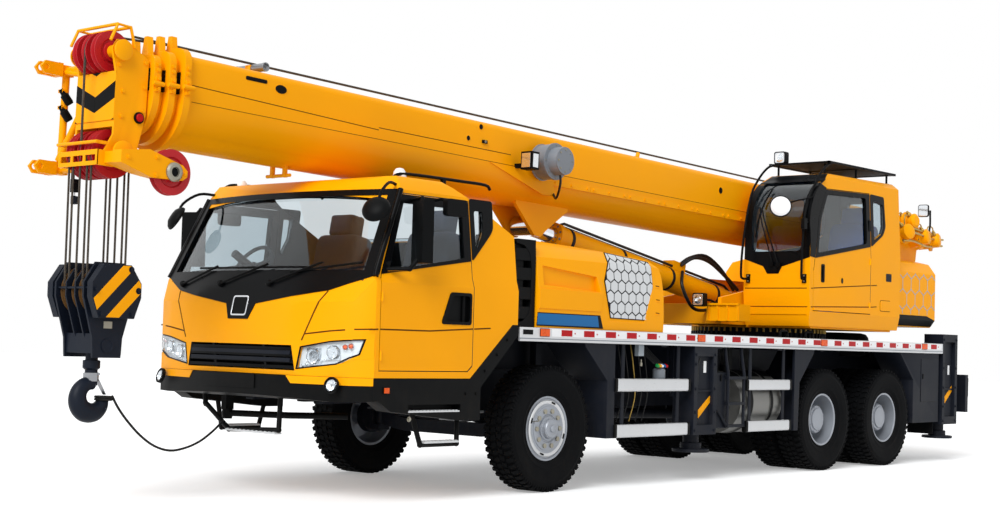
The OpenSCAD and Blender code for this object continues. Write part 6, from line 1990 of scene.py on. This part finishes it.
# driver cab: wipers, mirrors, roof rails
cabGear = dict(wipers=[(-867, (-415, 1783), (-690, 1772), (18, 1769)), (-287, (207, 1794), (-20, 1770), (649, 1770)),
        (298, (754, 1808), (470, 1731), (1100, 1807))], mirror=(1790, 1375, 2050), mirrorTurn=-20,
        roundMirror=(2115, 1200, 2205))


def makeCabGear():
    g = cabGear
    kit = Kit("cabGear")
    for pivot, elbow, low, high in g["wipers"]:
        kit.spin([(0, -30), (26, -30), (26, 20), (18, 30), (0, 30)], cabFront(pivot, 1640, 8), (0.9, 0, 0.4), "black",
                20)
        kit.tube([cabFront(pivot + (elbow[0] - pivot) * k / 5, 1640 + (elbow[1] - 1640) * k / 5, 26) for k in range(6)],
                0.010, "black", 8)
        kit.tube([cabFront(low[0] + (high[0] - low[0]) * k / 12, low[1] + (high[1] - low[1]) * k / 12, 14)
                for k in range(13)], 0.009, "black", 8)
    for s in (1, -1):
        kit.pipe([(640, s * 1010, 2486), (700, s * 1010, 2520), (1000, s * 1010, 2524), (1500, s * 1010, 2524),
                (1690, s * 1010, 2514), (1760, s * 1010, 2484)], 13, "black", steps=4)
        kit.box((1180, s * 996, 2476), (1220, s * 1024, 2520), "black")
        x, y, z = g["roundMirror"]
        spot = at(x, s * y, z)
        kit.spin([(0, 50), (60, 44), (98, 20), (110, 0), (110, -12), (100, -18)], spot, (0.75, s * 0.35, 0.5), "black")
        kit.spin([(100, -18), (50, -14), (0, -12)], spot, (0.75, s * 0.35, 0.5), "mirror")
        kit.pipe([(1790, s * 1080, 2420), (1930, s * 1140, 2420), (2060, s * 1190, 2330), (2100, s * 1200, 2220)], 12,
                "black", steps=4)
        kit.box((-7985, s * 330, 600), (-7975, s * 270, 720), "navy")
    for x, y in ((1650, 970), (1590, -1000)):
        kit.spin([(55, -20), (55, 12), (50, 16), (48, 40), (30, 66), (0, 74)], at(x, y, 2496), (0, 0, 1), "white", 28)
    kit.finish("carrier", "trim_black", 0.0015)
    t = radians(g["mirrorTurn"])
    for side, s in (("left", 1), ("right", -1)):
        def face(u, v, d):
            x, y, z = g["mirror"]
            return at(x + cos(t) * (-45 - d) - sin(t) * u, s * (y + sin(t) * (-45 - d) + cos(t) * u), z + v)
        kit = Kit("door_" + side + "Mirrors")
        panel(kit, plate(0, 60, 82, 158, 22), face, "mirror", 2, 4, step=120)
        panel(kit, plate(0, -168, 82, 54, 20), face, "mirror", 2, 4, step=120)
        shell = [at(x, s * 1380, z) for x, z in plate(1420, 2262, 112, 66, 30)]
        kit.slab(shell, (0, s, 0), 0.05, "black")
        kit.sheet("y", s * 1330, plate(1420, 2262, 98, 54, 24), -s, 4, "mirror")
        kit.pipe([(1470, s * 1150, 2318), (1465, s * 1250, 2330), (1450, s * 1350, 2305)], 12, "black")
        kit.finish("cab_door_" + side, "trim_black", 0.004)


makeCabGear()
print("stage: driver cab gear fitted")


makeBolts()
print("stage: bolts set")


# studio: pale floor, soft light, white backdrop
studio = dict(sunStrength=2.7, sunAngle=34, sunFrom=(0.92, 0.34, 0.78), world=0.55, floor=(238, 239, 240),
        floorGlow=0.30)


def seenRays(tree):  # camera, mirror and glass rays
    rays = tree.nodes.new("ShaderNodeLightPath").outputs
    near = sums(tree, "MAXIMUM", rays["Is Camera Ray"], rays["Is Glossy Ray"])
    return sums(tree, "MAXIMUM", near, rays["Is Transmission Ray"])


def makeStudio():
    world = bpy.data.worlds.new("softWorld")
    scene.world = world
    world.use_nodes = True
    t = world.node_tree
    t.nodes.clear()
    powers = studio["world"], 1
    light, shown = [newNode(t, "ShaderNodeBackground", {0: (1, 1, 1, 1), 1: power}) for power in powers]
    mix = newNode(t, "ShaderNodeMixShader", {0: seenRays(t), 1: light.outputs[0], 2: shown.outputs[0]})
    newNode(t, "ShaderNodeOutputWorld", {0: mix.outputs[0]})
    sun = bpy.data.lights.new("softSun", "SUN")
    sun.energy = studio["sunStrength"]
    sun.angle = radians(studio["sunAngle"])
    lamp = bpy.data.objects.new("softSun", sun)
    lamp.rotation_euler = Vector(studio["sunFrom"]).to_track_quat("Z", "Y").to_euler()
    scene.collection.objects.link(lamp)
    floor = bpy.data.meshes.new("floor")
    half = 60
    floor.from_pydata([(-half, -half, 0), (half, -half, 0), (half, half, 0), (-half, half, 0)], [], [(0, 1, 2, 3)])
    mat, t, bsdf, where = newMaterial("paleFloor")
    tone = place(t, "tone", where.outputs["Object"], Colour=rgb(*studio["floor"]), Drift=0.004, Scale=0.8)
    plug(t, tone["Colour"], bsdf.inputs["Base Color"])
    bsdf.inputs["Roughness"].default_value = 0.9
    bsdf.inputs["Specular IOR Level"].default_value = 0.1
    plug(t, sums(t, "MULTIPLY", seenRays(t), studio["floorGlow"]), bsdf.inputs["Emission Strength"])
    bsdf.inputs["Emission Color"].default_value = (1, 1, 1, 1)
    obj = linkMesh("floor", floor)
    obj.data.materials.append(mat)
    scene.view_settings.view_transform = "Standard"


makeStudio()
print("stage: studio lit")
